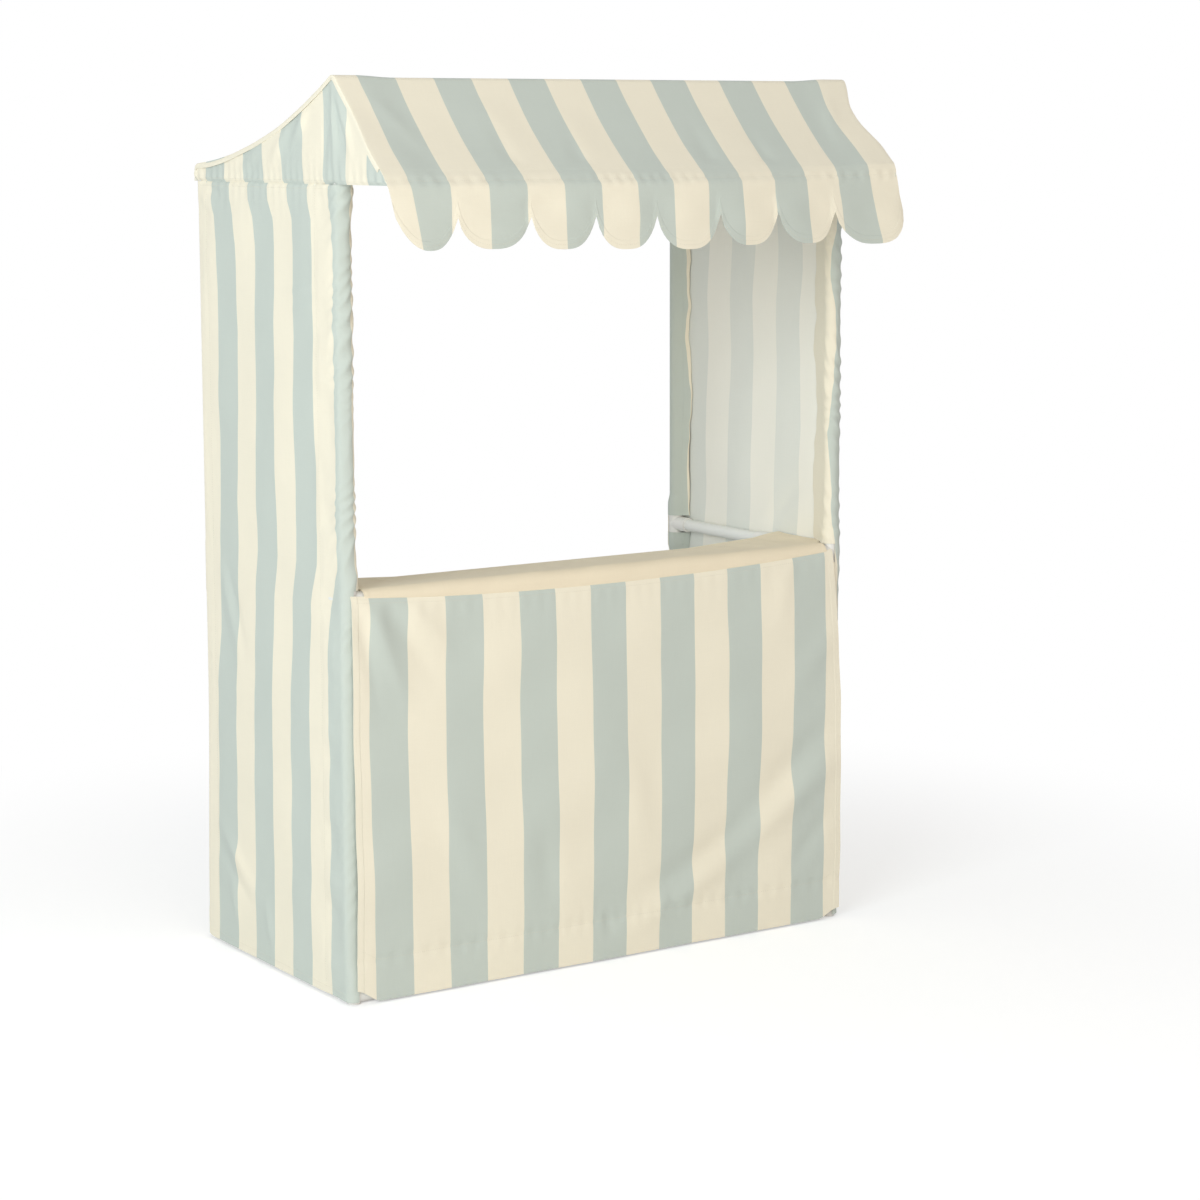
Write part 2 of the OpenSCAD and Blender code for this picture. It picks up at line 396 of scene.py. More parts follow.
# %% [markdown]
# ## Shaping helpers
# Cloth is shaped here by adding heights to a flat grid. `smooth` fades a thing in or out,
# `fold` raises one soft ridge along a line, or presses a valley where its height is below
# zero, and `ripples` adds the gentle unevenness of hand-dressed cloth from a few seeded
# waves, so that each run gives the same cloth. A listed fold gives its start, its end,
# its width, its height, and where on its run it is highest.

# %% Heights on cloth




def smooth(value, start, end):
    """0 at start, 1 at end, with an S-shaped rise between."""
    share = np.clip((value - start) / (end - start), 0, 1)
    return share * share * (3 - 2 * share)


def fold(a, b, start, end, width, height, peak=0.5):
    """Height of a soft ridge from start to end, strongest at the share peak of its run."""
    run = np.subtract(end, start)
    length = np.hypot(*run)
    share = ((a - start[0]) * run[0] + (b - start[1]) * run[1]) / length**2
    off = ((a - start[0]) * run[1] - (b - start[1]) * run[0]) / length
    return height * smooth(share, 0, peak) * smooth(share, 1, peak) * np.exp(-((off / width) ** 2))


def folds(a, b, listed):
    return sum(fold(a, b, *one) for one in listed)


def ripples(a, b, seed, height, *lengths):
    """Uneven waves about as high as height, for each of the given wave lengths."""
    draw = np.random.default_rng(seed)
    total = np.zeros(np.broadcast(a, b).shape)
    for length in lengths:
        for turn, shift in draw.uniform(0, 2 * math.pi, (4, 2)):
            wave = (a * math.cos(turn) + b * math.sin(turn)) * 2 * math.pi / length
            total += np.sin(wave + shift) * length / lengths[0]
    return total * height / 2.5


sample = ripples(np.linspace(0, 1, 50), 0.0, 1, 1.0, 0.3, 0.1)
print("ripples of height 1 run from", round(sample.min(), 2), "to", round(sample.max(), 2))

# %% [markdown]
# Paths are lists of points in a plane. A profile is put together from straight lines and
# arcs, and `run_length` says how much cloth lies along it, which is what the print and
# the stitches need.

# %% Paths


def line(start, end, pitch):
    """Points about pitch apart on a straight line."""
    count = max(1, round(float(np.hypot(*np.subtract(end, start))) / pitch))
    return np.linspace(start, end, count + 1)


def arc(centre, radius, start, end, pitch):
    """Points round a circle from one angle to another, in degrees."""
    count = max(2, round(abs(math.radians(end - start)) * radius / pitch))
    angles = np.radians(np.linspace(start, end, count + 1))
    return np.array(centre) + radius * np.stack([np.cos(angles), np.sin(angles)], -1)


def joined(*parts):
    """Paths put end to end, without doubling the points where they meet."""
    return np.concatenate([parts[0]] + [part[1:] for part in parts[1:]])


def run_length(path):
    """Distance along a path at each of its points."""
    steps = np.hypot(*np.diff(path, axis=0).T)
    return np.concatenate([[0], np.cumsum(steps)])


def stops(pitch, *marks):
    """Numbers through all the marks, about pitch apart; pitch may be one per stretch."""
    pitches = pitch if isinstance(pitch, (list, tuple)) else [pitch] * (len(marks) - 1)
    parts = [
        np.linspace(a, b, max(1, round(abs(b - a) / p)) + 1)
        for a, b, p in zip(marks, marks[1:], pitches)
    ]
    return joined(*parts)


quarter = arc((0, 0), 1, 0, 90, 0.01)
print("a quarter of a circle is", round(float(run_length(quarter)[-1]), 3), "radii long")

# %% [markdown]
# ## A grid of cloth
# A sheet of cloth is a grid of points with rows and columns, and at each point the
# cloth's own measures: across and along the threads, and how far the nearest hem is. The
# rows and columns also carry marks, such as a height or a run, so that a seam can be
# asked for at a place on the real thing. Where no hem is near, the distance is `NO_HEM`.

# %% A grid of cloth
NO_HEM = 200 * MM


class Grid:
    """Points in rows and columns, with the cloth's own measures at each."""

    def __init__(self, points, across, along, edge, outward, row_marks, column_marks):
        self.points = points
        shape = points.shape[:2]
        self.cloth = np.stack([np.broadcast_to(across, shape), np.broadcast_to(along, shape)], -1)
        self.edge = np.broadcast_to(edge, shape)
        self.row_marks = row_marks
        self.column_marks = column_marks
        down, over = np.gradient(points, axis=0), np.gradient(points, axis=1)
        normals = np.cross(over, down)
        normals /= np.maximum(np.linalg.norm(normals, axis=-1, keepdims=True), 1e-12)
        middle = normals[shape[0] // 2, shape[1] // 2]
        self.reversed = bool(np.dot(middle, outward) < 0)
        self.normals = -normals if self.reversed else normals

    def area(self, kept=None):
        """Area of the cloth, or of the cells of it that are kept."""
        a = self.points[1:, 1:] - self.points[:-1, :-1]
        b = self.points[1:, :-1] - self.points[:-1, 1:]
        cells = np.linalg.norm(np.cross(a, b), axis=-1) / 2
        return float(cells.sum() if kept is None else cells[kept].sum())

    def at(self, values, row, column):
        """A grid of values read between its points."""
        r0 = np.clip(row.astype(int), 0, values.shape[0] - 2)
        c0 = np.clip(column.astype(int), 0, values.shape[1] - 2)
        r, c = (row - r0)[:, None], (column - c0)[:, None]
        upper = values[r0, c0] * (1 - c) + values[r0, c0 + 1] * c
        lower = values[r0 + 1, c0] * (1 - c) + values[r0 + 1, c0 + 1] * c
        return upper * (1 - r) + lower * r


print("the turned hem fades out", round(HEM_WIDTH / MM), "mm in from an edge")

# %% [markdown]
# The grid's cells become the faces of a mesh, and its measures become two UV maps. A
# sheet without thickness would look like paper at its hems, so a Solidify modifier gives
# it the thickness of canvas and puts the second finish, the washed-out back, on the inner
# side. On the striped cover that back is also painted paler, as painted light for the light
# that shines through. The modifier is applied at once, so that the piece is a plain mesh.

# %% From a grid to cloth
SHARP_ANGLE = math.radians(50)


def cloth_mesh(grid, name, kept):
    """A mesh of the grid, or of its kept cells, with the maps that the finishes read."""
    rows, columns = grid.points.shape[:2]
    index = np.arange(rows * columns).reshape(rows, columns)
    corners = [index[:-1, :-1], index[:-1, 1:], index[1:, 1:], index[1:, :-1]]
    if grid.reversed:
        corners.reverse()
    faces = np.stack(corners, -1)
    faces = faces.reshape(-1, 4) if kept is None else faces[kept]
    used, faces = np.unique(faces, return_inverse=True)
    faces = faces.reshape(-1, 4)
    mesh = bpy.data.meshes.new(name)
    mesh.from_pydata(grid.points.reshape(-1, 3)[used].tolist(), [], faces.tolist())
    corner = used[faces.ravel()]
    cloth = grid.cloth.reshape(-1, 2)[corner]
    edge = np.stack([grid.edge.ravel()[corner], cloth[:, 1]], -1)
    for title, pairs in (("cloth", cloth), ("edge", edge)):
        layer = mesh.uv_layers.new(name=title)
        layer.data.foreach_set("uv", pairs.astype(np.float32).ravel())
    return mesh


def thicken(piece):
    """Gives a piece the thickness of canvas, with its second finish on the inner side."""
    thick = piece.modifiers.new("thickness of the cloth", "SOLIDIFY")
    thick.thickness = CLOTH_T
    thick.offset = -1
    thick.material_offset = 1
    shaped = piece.evaluated_get(bpy.context.evaluated_depsgraph_get())
    piece.data = bpy.data.meshes.new_from_object(shaped)
    piece.modifiers.clear()
    piece.data.set_sharp_from_angle(angle=SHARP_ANGLE)


print("canvas is", round(CLOTH_T / MM, 1), "mm thick")

# %% [markdown]
# ## Sewing
# Seams are real stitches, small spindles of thread half sunk in the cloth, because a
# bump would vanish at the low angles at which most seams are seen. A stitch has six
# points: its two ends and four round its middle.

# %% One stitch
STITCH_PITCH = 3.6 * MM
STITCH_LENGTH = 2.7 * MM
STITCH_WIDTH = 0.6 * MM
SPINDLE = np.array(
    [[0, 2, 4], [0, 4, 3], [0, 3, 5], [0, 5, 2], [1, 4, 2], [1, 3, 4], [1, 5, 3], [1, 2, 5]]
)


def spindles(middle, up, ahead):
    """The points of a stitch at each place, given the cloth's normal and the way ahead."""
    side = np.cross(up, ahead)
    half, wide = STITCH_LENGTH / 2, STITCH_WIDTH / 2
    lift = middle + up * wide * 0.5
    return np.stack(
        [
            middle - ahead * half - up * wide,
            middle + ahead * half - up * wide,
            lift + side * wide,
            lift - side * wide,
            lift + up * wide,
            lift - up * wide,
        ],
        1,
    )


print(f"stitches {STITCH_LENGTH / MM:.1f} mm long and {STITCH_PITCH / MM:.1f} mm apart")

# %% [markdown]
# ## A sheet of cloth
# `Sheet` is a grid that can be made and sewn. `make` hangs the cloth on the frame. `sew`
# notes a row of stitches, which follow the folds because they read their places off the
# same grid, and `thread` makes all the stitches of a sheet as one piece.

# %% The sheet class


class Sheet(Grid):
    """A piece of cloth that can be made and sewn."""

    def make(self, name, finishes, kept=None):
        """Turns the grid, or its kept cells, into a piece with a face and a back."""
        mesh = cloth_mesh(self, name, kept)
        for material in finishes:
            mesh.materials.append(material)
        mesh.shade_smooth()
        piece = bpy.data.objects.new(name, mesh)
        bpy.context.scene.collection.objects.link(piece)
        thicken(piece)
        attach(piece, "root")
        self.stitches = []
        print(f"{name}: {len(piece.data.polygons)} faces, {self.area(kept):.3f} square metres")
        return piece

    def sew(self, row_values, column_values):
        """Notes a row of stitches through places given as marks on the rows and columns."""
        row = np.interp(row_values, self.row_marks, np.arange(len(self.row_marks)))
        column = np.interp(column_values, self.column_marks, np.arange(len(self.column_marks)))
        row, column = np.broadcast_arrays(row, column)
        count = max(2, 4 * len(row))
        fine = np.linspace(0, len(row) - 1, count)
        row = np.interp(fine, np.arange(len(row)), row)
        column = np.interp(fine, np.arange(len(column)), column)
        path = self.at(self.points, row, column)
        along = np.concatenate([[0], np.cumsum(np.linalg.norm(np.diff(path, axis=0), axis=1))])
        places = np.arange(STITCH_PITCH, along[-1] - STITCH_PITCH, STITCH_PITCH)
        row = np.interp(places, along, row)
        column = np.interp(places, along, column)
        middle = self.at(self.points, row, column)
        ahead = np.gradient(middle, axis=0)
        ahead /= np.linalg.norm(ahead, axis=1, keepdims=True)
        self.stitches.append(spindles(middle, self.at(self.normals, row, column), ahead))

    def thread(self, name):
        """Makes all the stitches noted on this sheet as one piece."""
        points = np.concatenate(self.stitches)
        faces = (np.arange(len(points))[:, None, None] * 6 + SPINDLE).reshape(-1, 3)
        mesh = bpy.data.meshes.new(name)
        mesh.from_pydata(points.reshape(-1, 3).tolist(), [], faces.tolist())
        mesh.materials.append(THREAD)
        mesh.shade_smooth()
        made = bpy.data.objects.new(name, mesh)
        bpy.context.scene.collection.objects.link(made)
        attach(made, "root")
        print(f"{name}: {len(points)} stitches")
        return made


square = Grid(np.stack(np.meshgrid([0, 1], [0, 1], [0]), -1)[:, :, 0], 0, 0, 0, (0, 0, 1), 0, 0)
print("a grid of one square metre measures", square.area())

# %% [markdown]
# ## The side walls
# Each wall is one strip of canvas as tall as the eaves. It lies flat along the side, and
# at the front and the back it turns round the post and comes back to be sewn to its own
# inner face, which makes a sleeve with the printed side out. The strip's path in plan is
# therefore a flap, an arc, a straight run, an arc and a flap. Drawing that path up in Z
# gives one continuous grid, so the stripes run round the posts without a break.
#
# Where a connector's socket or a rail has to come through a sleeve, the flap is left open.

# %% Wall path
FRONT_FLAP = 55 * MM
BACK_FLAP = 24 * MM
FLAP_GAP = 2.6 * MM
WINDOW = 14 * MM


def wall_path():
    """The left wall's path in plan as (x, y) points, and the run where each part ends."""
    front, back = np.array([-POST_X, FRONT_Y]), np.array([-POST_X, BACK_Y])
    sewn_front = np.array([-HALF_W + FLAP_GAP, FRONT_Y + FRONT_FLAP])
    sewn_back = np.array([-HALF_W + FLAP_GAP, BACK_Y - BACK_FLAP])
    reach_front, reach_back = sewn_front - front, sewn_back - back
    turn_front = math.degrees(
        math.atan2(reach_front[1], reach_front[0])
        - math.acos(SLEEVE_R / np.hypot(*reach_front))
    )
    turn_back = math.degrees(
        math.atan2(reach_back[1], reach_back[0]) + math.acos(SLEEVE_R / np.hypot(*reach_back))
    )
    round_front = arc(front, SLEEVE_R, turn_front, -180, 2.8 * MM)
    round_back = arc(back, SLEEVE_R, 180, turn_back, 2.8 * MM)
    parts = [
        line(sewn_front, round_front[0], 5 * MM),
        round_front,
        line(round_front[-1], round_back[0], 6 * MM),
        round_back,
        line(round_back[-1], sewn_back, 5 * MM),
    ]
    ends = np.cumsum([run_length(part)[-1] for part in parts])
    return joined(*parts), ends


WALL_PATH, WALL_ENDS = wall_path()
print("wall strip is", round(float(WALL_ENDS[-1]), 3), "m round")

# %% [markdown]
# The print is never quite even. The left wall is drawn tight near the eaves and sits
# loose towards the floor, so its stripes lean a little. Each wall's print is given at a
# few heights `z`, in millimetres, and blended between them: `start` is where a stripe
# begins and `pitch` is how wide the stripes are. `turn` is how far round the front post,
# in degrees, the stripe on it reaches, `past` is how fast the print runs on round the
# back post, and `waver` is how far the stripes wander.

# %% Print of the walls
LEFT_LEAN = {
    "z": (0, 180, 400, 480, 556, 612, 700, 1050, 1090, 1114, 1137),
    "start": (-108, -109, -111, -113, -120, -141, -139, -141, -140, -130, -128),
    "pitch": (58, 57.5, 57, 55.5, 56, 59.5, 58.8, 58.2, 58.8, 59, 59),
    "turn": 116,
    "past": 1.0,
    "waver": 0.0,
}
RIGHT_LEAN = {
    "z": (0, 1137),
    "start": (-109, -109),
    "pitch": (61, 61),
    "turn": 112,
    "past": 1.5,
    "waver": 10 * MM,
}


def wall_print(z, run, lean, seed):
    """How far across the print each point of a wall is."""
    start = np.interp(z / MM, lean["z"], lean["start"]) * MM
    pitch = np.interp(z / MM, lean["z"], lean["pitch"]) * MM
    on_wall = np.clip(run, WALL_ENDS[1], WALL_ENDS[2])
    wall_y = FRONT_Y + on_wall - WALL_ENDS[1]
    past = np.maximum(run - on_wall, 0) * lean["past"]
    across = (wall_y - start) / pitch * STRIPE + past + STRIPE / 2
    back_round = np.maximum(WALL_ENDS[1] - run, 0)
    to_edge = SLEEVE_R * math.radians(lean["turn"])
    ease = ((FRONT_Y - start) / pitch + 1) * STRIPE / to_edge
    across = across - np.minimum(back_round, to_edge) * ease
    across = across - np.maximum(back_round - to_edge, 0) * 0.72
    near_sleeve = 0.3 + 0.7 * smooth(run, WALL_ENDS[1] + 160 * MM, WALL_ENDS[1])
    across = across + ripples(0 * run, z, seed + 3, 2.0 * MM, 0.11, 0.055, 0.03) * near_sleeve
    return across + ripples(0.3 * wall_y, z, seed + 5, lean["waver"], 0.36, 0.2)


print("the left wall's stripes are", min(LEFT_LEAN["pitch"]), "to", max(LEFT_LEAN["pitch"]), "mm")

# %% [markdown]
# Folds come where the cloth is pulled: down from the eaves at the back post, over the
# back corner near the floor, and beside the sleeves. They lie in (y, z). Between them the
# flat part ripples slowly, puckers beside the front sleeve and gathers under the eaves.
# At a sewn seam it is pressed in a little, and `least` keeps it from going through the
# flap behind.

# %% Relief of the flat part
LEFT_FOLDS = [
    ((0.266, 1.142), (0.165, 1.106), 8 * MM, -3.2 * MM, 0.2),
    ((0.270, 1.120), (0.190, 1.085), 9 * MM, 2.2 * MM, 0.3),
    ((0.225, 0.610), (0.150, 0.410), 13 * MM, 3.0 * MM, 0.4),
    ((0.205, 0.600), (0.125, 0.420), 10 * MM, -2.4 * MM, 0.4),
    ((0.255, 0.205), (0.090, 0.075), 12 * MM, 4.2 * MM, 0.4),
    ((0.255, 0.165), (0.100, 0.050), 9 * MM, -2.4 * MM, 0.4),
    ((0.098, 0.110), (0.064, 0.010), 8 * MM, 3.0 * MM, 0.5),
    ((0.200, 0.125), (0.182, 0.030), 8 * MM, 3.0 * MM, 0.5),
    ((-0.100, 0.998), (0.010, 0.985), 6 * MM, 1.2 * MM, 0.5),
    ((-0.100, 0.972), (0.000, 0.960), 6 * MM, 1.0 * MM, 0.5),
]
RIGHT_FOLDS = [
    ((0.250, 1.130), (0.120, 1.000), 12 * MM, 2.6 * MM, 0.3),
    ((0.100, 1.120), (0.060, 0.900), 14 * MM, -2.2 * MM, 0.3),
    ((0.240, 0.180), (0.080, 0.060), 12 * MM, 3.4 * MM, 0.4),
    ((-0.090, 0.700), (0.060, 0.560), 14 * MM, 2.4 * MM, 0.5),
]


def on_flat(run):
    """1 on the flat part of the strip, 0 on its sleeves."""
    past_front = smooth(run, WALL_ENDS[1], WALL_ENDS[1] + 20 * MM)
    return past_front * smooth(run, WALL_ENDS[2], WALL_ENDS[2] - 20 * MM)


def flat_relief(y, z, run, listed, seed):
    """Height of the wall's flat part over the straight path."""
    held = smooth(z, SEAM_Z, SEAM_Z - 60 * MM) * smooth(z, 0, 30 * MM)
    height = ripples(y, z, seed, 1.6 * MM, 0.30, 0.17, 0.09) * held
    pucker = ripples(0 * y, z, seed + 3, 2.0 * MM, 0.11, 0.055, 0.03)
    height = height + pucker * np.exp(-(((y - FRONT_Y - 34 * MM) / (26 * MM)) ** 2))
    height = height + folds(y, z, listed)
    gathers = np.sin(2 * math.pi * y / (23 * MM) + 5 * np.sin(9 * y))
    height = height + 1.2 * MM * gathers * np.exp(-(SEAM_Z - z) / (26 * MM))
    least = -2.6 * MM + 0 * y
    for seam_y in (FRONT_Y + FRONT_FLAP, BACK_Y - BACK_FLAP):
        height = height - 1.0 * MM * np.exp(-(((y - seam_y) / (4 * MM)) ** 2))
        least = least + 1.9 * MM * np.exp(-(((y - seam_y) / (12 * MM)) ** 2))
    return np.maximum(height, least) * on_flat(run)


print("listed folds:", len(LEFT_FOLDS), "on the left wall,", len(RIGHT_FOLDS), "on the right")

# %% [markdown]
# A sleeve is loose on its tube and wrinkles in slanting rings, more above the counter
# than below. Between two connectors it can lie close to the tube, and over a connector it
# is full.

# %% Relief of the sleeves


def sleeve_wrinkles(z, run, seed):
    """Height of the slanting wrinkles on the front sleeve."""
    on_sleeve = smooth(run, 0.5 * WALL_ENDS[0], WALL_ENDS[0])
    on_sleeve = on_sleeve * smooth(run, WALL_ENDS[1] + 30 * MM, WALL_ENDS[1])
    uneven = ripples(run, z, seed + 1, 1.0, 0.14, 0.06)
    wrinkle = 0.5 + 0.5 * np.sin(2 * math.pi * (z + 0.9 * run) / (25 * MM) + 2.6 * uneven)
    patchy = 0.25 + 0.75 * smooth(ripples(0 * run, z, seed + 2, 1.0, 0.21, 0.09), -0.6, 0.6)
    looser = 0.35 + 0.65 * smooth(z, 0.45, 0.75)
    return 2.3 * MM * wrinkle**2 * patchy * looser * on_sleeve


def close_to_tube(z, run):
    """1 where a sleeve lies close to its tube, 0 over the connectors and off the sleeves."""
    front = smooth(run, WALL_ENDS[1], WALL_ENDS[1] - 16 * MM) * smooth(run, 0, WALL_ENDS[0])
    back = smooth(run, WALL_ENDS[2], WALL_ENDS[2] + 16 * MM)
    close = front + back * smooth(run, WALL_ENDS[4], WALL_ENDS[3])
    for joint_z, clear in ((BOTTOM[1], 26 * MM), (NOSE[1], 32 * MM), (EAVE_Z, 34 * MM)):
        close = close * smooth(np.abs(z - joint_z), clear, clear + 18 * MM)
    return close


print("a sleeve is", round(2 * SLEEVE_R / MM, 1), "mm across where it is full")

# %% [markdown]
# With the print and the relief ready, a wall is the path drawn up in Z. The lower back
# corner kicks out past its post, more on the left than on the right, and is a little
# rounded. The flaps' sewn edges waver. The cells of the flaps that would cover a
# connector's socket or a rail are left out.

# %% Shape of a wall
KICK = 13 * MM
INNER_SIDE = 26 * MM


def wall_kept(z, run):
    """Which cells of the grid are kept: all but the windows in the flaps."""
    middle_z = (z[1:] + z[:-1]) / 2
    middle_run = (run[:, 1:] + run[:, :-1]) / 2
    near_foot = middle_z < BOTTOM[1] + WINDOW
    near_rail = np.abs(middle_z - NOSE[1]) < WINDOW
    inner_front = middle_run < WALL_ENDS[0] + INNER_SIDE
    inner_back = middle_run > WALL_ENDS[3] - INNER_SIDE
    return ~((near_foot | near_rail) & (inner_front | inner_back))


def wall(side, lean, listed, seed):
    """One side wall and its kept cells: side is -1 for the left and 1 for the right."""
    z = stops(
        [5 * MM, 5 * MM, 5 * MM, 3 * MM, 3 * MM, 1.5 * MM],
        HEM_Z, BOTTOM[1] + WINDOW, NOSE[1] - WINDOW, NOSE[1] + WINDOW,
        SEAM_Z - 12 * MM, SEAM_Z - 3 * MM, SEAM_Z,
    )[:, None]
    run = run_length(WALL_PATH)[None, :]
    x, y = WALL_PATH[None, :, 0], WALL_PATH[None, :, 1]
    tangent = np.gradient(WALL_PATH, axis=0)
    tangent /= np.linalg.norm(tangent, axis=1, keepdims=True)
    out_x, out_y = -tangent[None, :, 1], tangent[None, :, 0]

    height = flat_relief(y, z, run, listed, seed) + sleeve_wrinkles(z, run, seed)
    height = height - 3.0 * MM * close_to_tube(z, run)
    height = height - 2.4 * MM * smooth(z, SEAM_Z - 5 * MM, SEAM_Z) * on_flat(run)

    kick = KICK * smooth(z, 0.42, 0.02) * smooth(y, BACK_Y - 60 * MM, BACK_Y + SLEEVE_R)
    rounding = 5 * MM * smooth(z, 20 * MM, 0) * smooth(y, BACK_Y - 10 * MM, BACK_Y + SLEEVE_R)
    on_flaps = smooth(run, WALL_ENDS[0], 0) + smooth(run, WALL_ENDS[3], WALL_ENDS[4])
    waver = ripples(0 * run, z, seed + 4, 4.5 * MM, 0.16, 0.07, 0.035) * on_flaps
    points = np.stack(
        [
            -side * (x + out_x * height),
            y + out_y * height + waver + (kick if side < 0 else 0.5 * kick),
            z + 0 * run + rounding,
        ],
        -1,
    )
    across = wall_print(z, run, lean, seed)
    edge = np.minimum(np.minimum(z - HEM_Z, NO_HEM), np.minimum(run, WALL_ENDS[-1] - run))
    return Sheet(points, across, z, edge, (side, 0, 0), z[:, 0], run[0]), wall_kept(z, run)


print("the lower back corner kicks out", round(KICK / MM), "mm")

# %% [markdown]
# Each wall has four rows of stitches: one up each sleeve where its flap is sewn down, one
# along the floor hem and one along the seam at the eaves.

# %% Both walls


def finish_wall(word, side, lean, listed, seed):
    """Sews one wall and puts it in the place of the frame's plain sheet."""
    sheet, kept = wall(side, lean, listed, seed)
    piece = sheet.make(f"wall_cloth_{word}", STRIPED, kept)
    inside = np.linspace(HEM_Z + 6 * MM, SEAM_Z - 6 * MM, 120)
    for seam_at in (WALL_ENDS[1] + FRONT_FLAP, WALL_ENDS[2] - BACK_FLAP):
        sheet.sew(inside, np.full_like(inside, seam_at))
    level = np.linspace(WALL_ENDS[1], WALL_ENDS[2], 60)
    sheet.sew(np.full_like(level, HEM_Z + HEM_WIDTH - 1.5 * MM), level)
    sheet.sew(np.full_like(level, SEAM_Z - 6 * MM), level)
    thread = sheet.thread(f"wall_cloth_{word}_thread")
    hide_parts(f"{word}_wall")


finish_wall("left", -1, LEFT_LEAN, LEFT_FOLDS, 11)
finish_wall("right", 1, RIGHT_LEAN, RIGHT_FOLDS, 23)

# %% [markdown]
# ## Profiles of hung cloth
# The roof and the counter are cloth hung from one bar to the next. Such cloth lies on the
# first bar, leaves it, sags between the two and lies on the second bar. A sag that is
# small against the span is close to a parabola, which one quadratic curve draws exactly:
# its middle control point is where the two end tangents cross.
#
# A connector is fatter than its tube, so the same profile is drawn once for the tube's
# radius and once for the connector's, and blended towards the ends of each bar.

# %% Profiles
HUB_X = POST_X - 20 * MM
TUBE_X = POST_X - 80 * MM


def hung(first, start, second, end, radius, dip, side, counts):
    """A (y, z) profile over two bars; side is 1 where it runs towards -Y, else -1."""
    ahead = (second - first) / np.hypot(*(second - first))
    normal = np.array([-ahead[1], ahead[0]])
    normal = normal if normal[1] > 0 else -normal
    lean = math.degrees(math.atan2(normal[1], normal[0]))
    leave, land = lean + side * dip, lean - side * dip

    def around(centre, start_angle, end_angle, count):
        angles = np.radians(np.linspace(start_angle, end_angle, count + 1))
        return centre + radius * np.stack([np.cos(angles), np.sin(angles)], -1)

    over_first = around(first, start, leave, counts[0])
    over_second = around(second, land, end, counts[2])
    a, b = over_first[-1], over_second[0]
    drop = np.hypot(*(b - a)) / 2 * math.tan(math.radians(dip))
    control = (a + b) / 2 - normal * drop
    t = np.linspace(0, 1, counts[1] + 1)[:, None]
    span = a * (1 - t) ** 2 + 2 * control * t * (1 - t) + b * t**2
    return joined(over_first, span, over_second)


def fat_ends(x, tube_profile, hub_profile):
    """Blends a profile from the tube's radius to the connector's near each end."""
    share = smooth(np.abs(x), TUBE_X, HUB_X)[None, :, None]
    return tube_profile[:, None, :] * (1 - share) + hub_profile[:, None, :] * share


def drawn_out(x, profile):
    """The (y, z) profile at each x as a grid of points."""
    wide = np.broadcast_to(x, profile.shape[:2])
    return np.concatenate([wide[..., None], profile], -1)


REST_R = TUBE_R + CLOTH_T + 0.4 * MM
FRONT_DIP, BACK_DIP = 6, 12
FRONT_COUNTS, BACK_COUNTS = (6, 30, 3), (5, 74, 8)
FRONT_HUB = hung(RIDGE, 90, AWNING, 138, SLEEVE_R, FRONT_DIP, 1, FRONT_COUNTS)
FRONT_TUBE = hung(RIDGE, 90, AWNING, 138, REST_R, FRONT_DIP, 1, FRONT_COUNTS)
BACK_HUB = hung(RIDGE, 90, BACK_EAVE, 0, SLEEVE_R, BACK_DIP, -1, BACK_COUNTS)
BACK_TUBE = hung(RIDGE, 90, BACK_EAVE, 0, REST_R, BACK_DIP, -1, BACK_COUNTS)
print("front slope", round(float(run_length(FRONT_HUB)[-1]), 3), "m,",
      "back slope", round(float(run_length(BACK_HUB)[-1]), 3), "m")

# %% [markdown]
# ## Front slope and valance
# The front slope goes over the ridge bar and down past the awning bar, and its lower end
# hangs as the valance. Canvas does not turn sharply: it runs on straight past the bar for
# a little, bends, and stands a bit forward of the bar all the way down, more at the left
# end than at the right. Between the two bars its side edges are drawn in a little.

# %% Lines of the front slope
SCALLOPS = 8
CUSP_SHIFTS = (-5, 2, -1, -8, -8, -13, -16)
BEND_Z = AWNING[1] - 12.5 * MM
ROOF_SHIFT = 8 * MM


def cusps():
    """Where the scallops meet, with the small errors of cutting by hand."""
    even = np.linspace(-HALF_W, HALF_W, SCALLOPS + 1)
    even[1:-1] += np.array(CUSP_SHIFTS) * MM
    return even


def bend_y(x):
    """How far forward the cloth bends below the awning bar."""
    return AWNING[0] - 17 * MM - 13 * MM * smooth(x, 0.40, 0.05)


def drawn_in(y, side):
    """How far the slope's edge is drawn in between the ridge and the awning bar."""
    most = 16 * MM if side > 0 else 4 * MM
    below_ridge = smooth(y, RIDGE[0] - 5 * MM, RIDGE[0] - 48 * MM)
    return most * below_ridge * smooth(y, AWNING[0] + 14 * MM, AWNING[0] + 62 * MM)


print("scallops are", np.round(np.diff(cusps()) / MM).astype(int), "mm wide")

# %% [markdown]
# At the sides the slopes turn down a little over the gables, which shows as a narrow
# cream band. The band is a few more columns on each side of a slope's grid, set along the
# grid's own normals.

# %% Side bands
BAND_DOWN = np.array([0.2, 1.2, 4.0, 7.0]) * MM
BAND_OUT = np.array([0.6, 1.1, 1.3, 1.3]) * MM


def banded(points, normals, x, *fields):
    """A slope's grid, marks and fields, with its side edges turned down over the gables."""
    down, out = BAND_DOWN[None, :, None], BAND_OUT[None, :, None] * np.array([1, 0, 0])
    left = points[:, :1] - normals[:, :1] * down[:, ::-1] - out[:, ::-1]
    right = points[:, -1:] - normals[:, -1:] * down + out
    points = np.concatenate([left, points, right], 1)
    x = np.concatenate([x[0] - BAND_DOWN[::-1], x, x[-1] + BAND_DOWN])
    pad = ((0, 0), (len(BAND_DOWN), len(BAND_DOWN)))
    return points, x, *[np.pad(field, pad, mode="edge") for field in fields]


def on_band(x):
    """Which cells between the marks x lie on a side band."""
    return np.abs((x[1:] + x[:-1]) / 2) > HALF_W


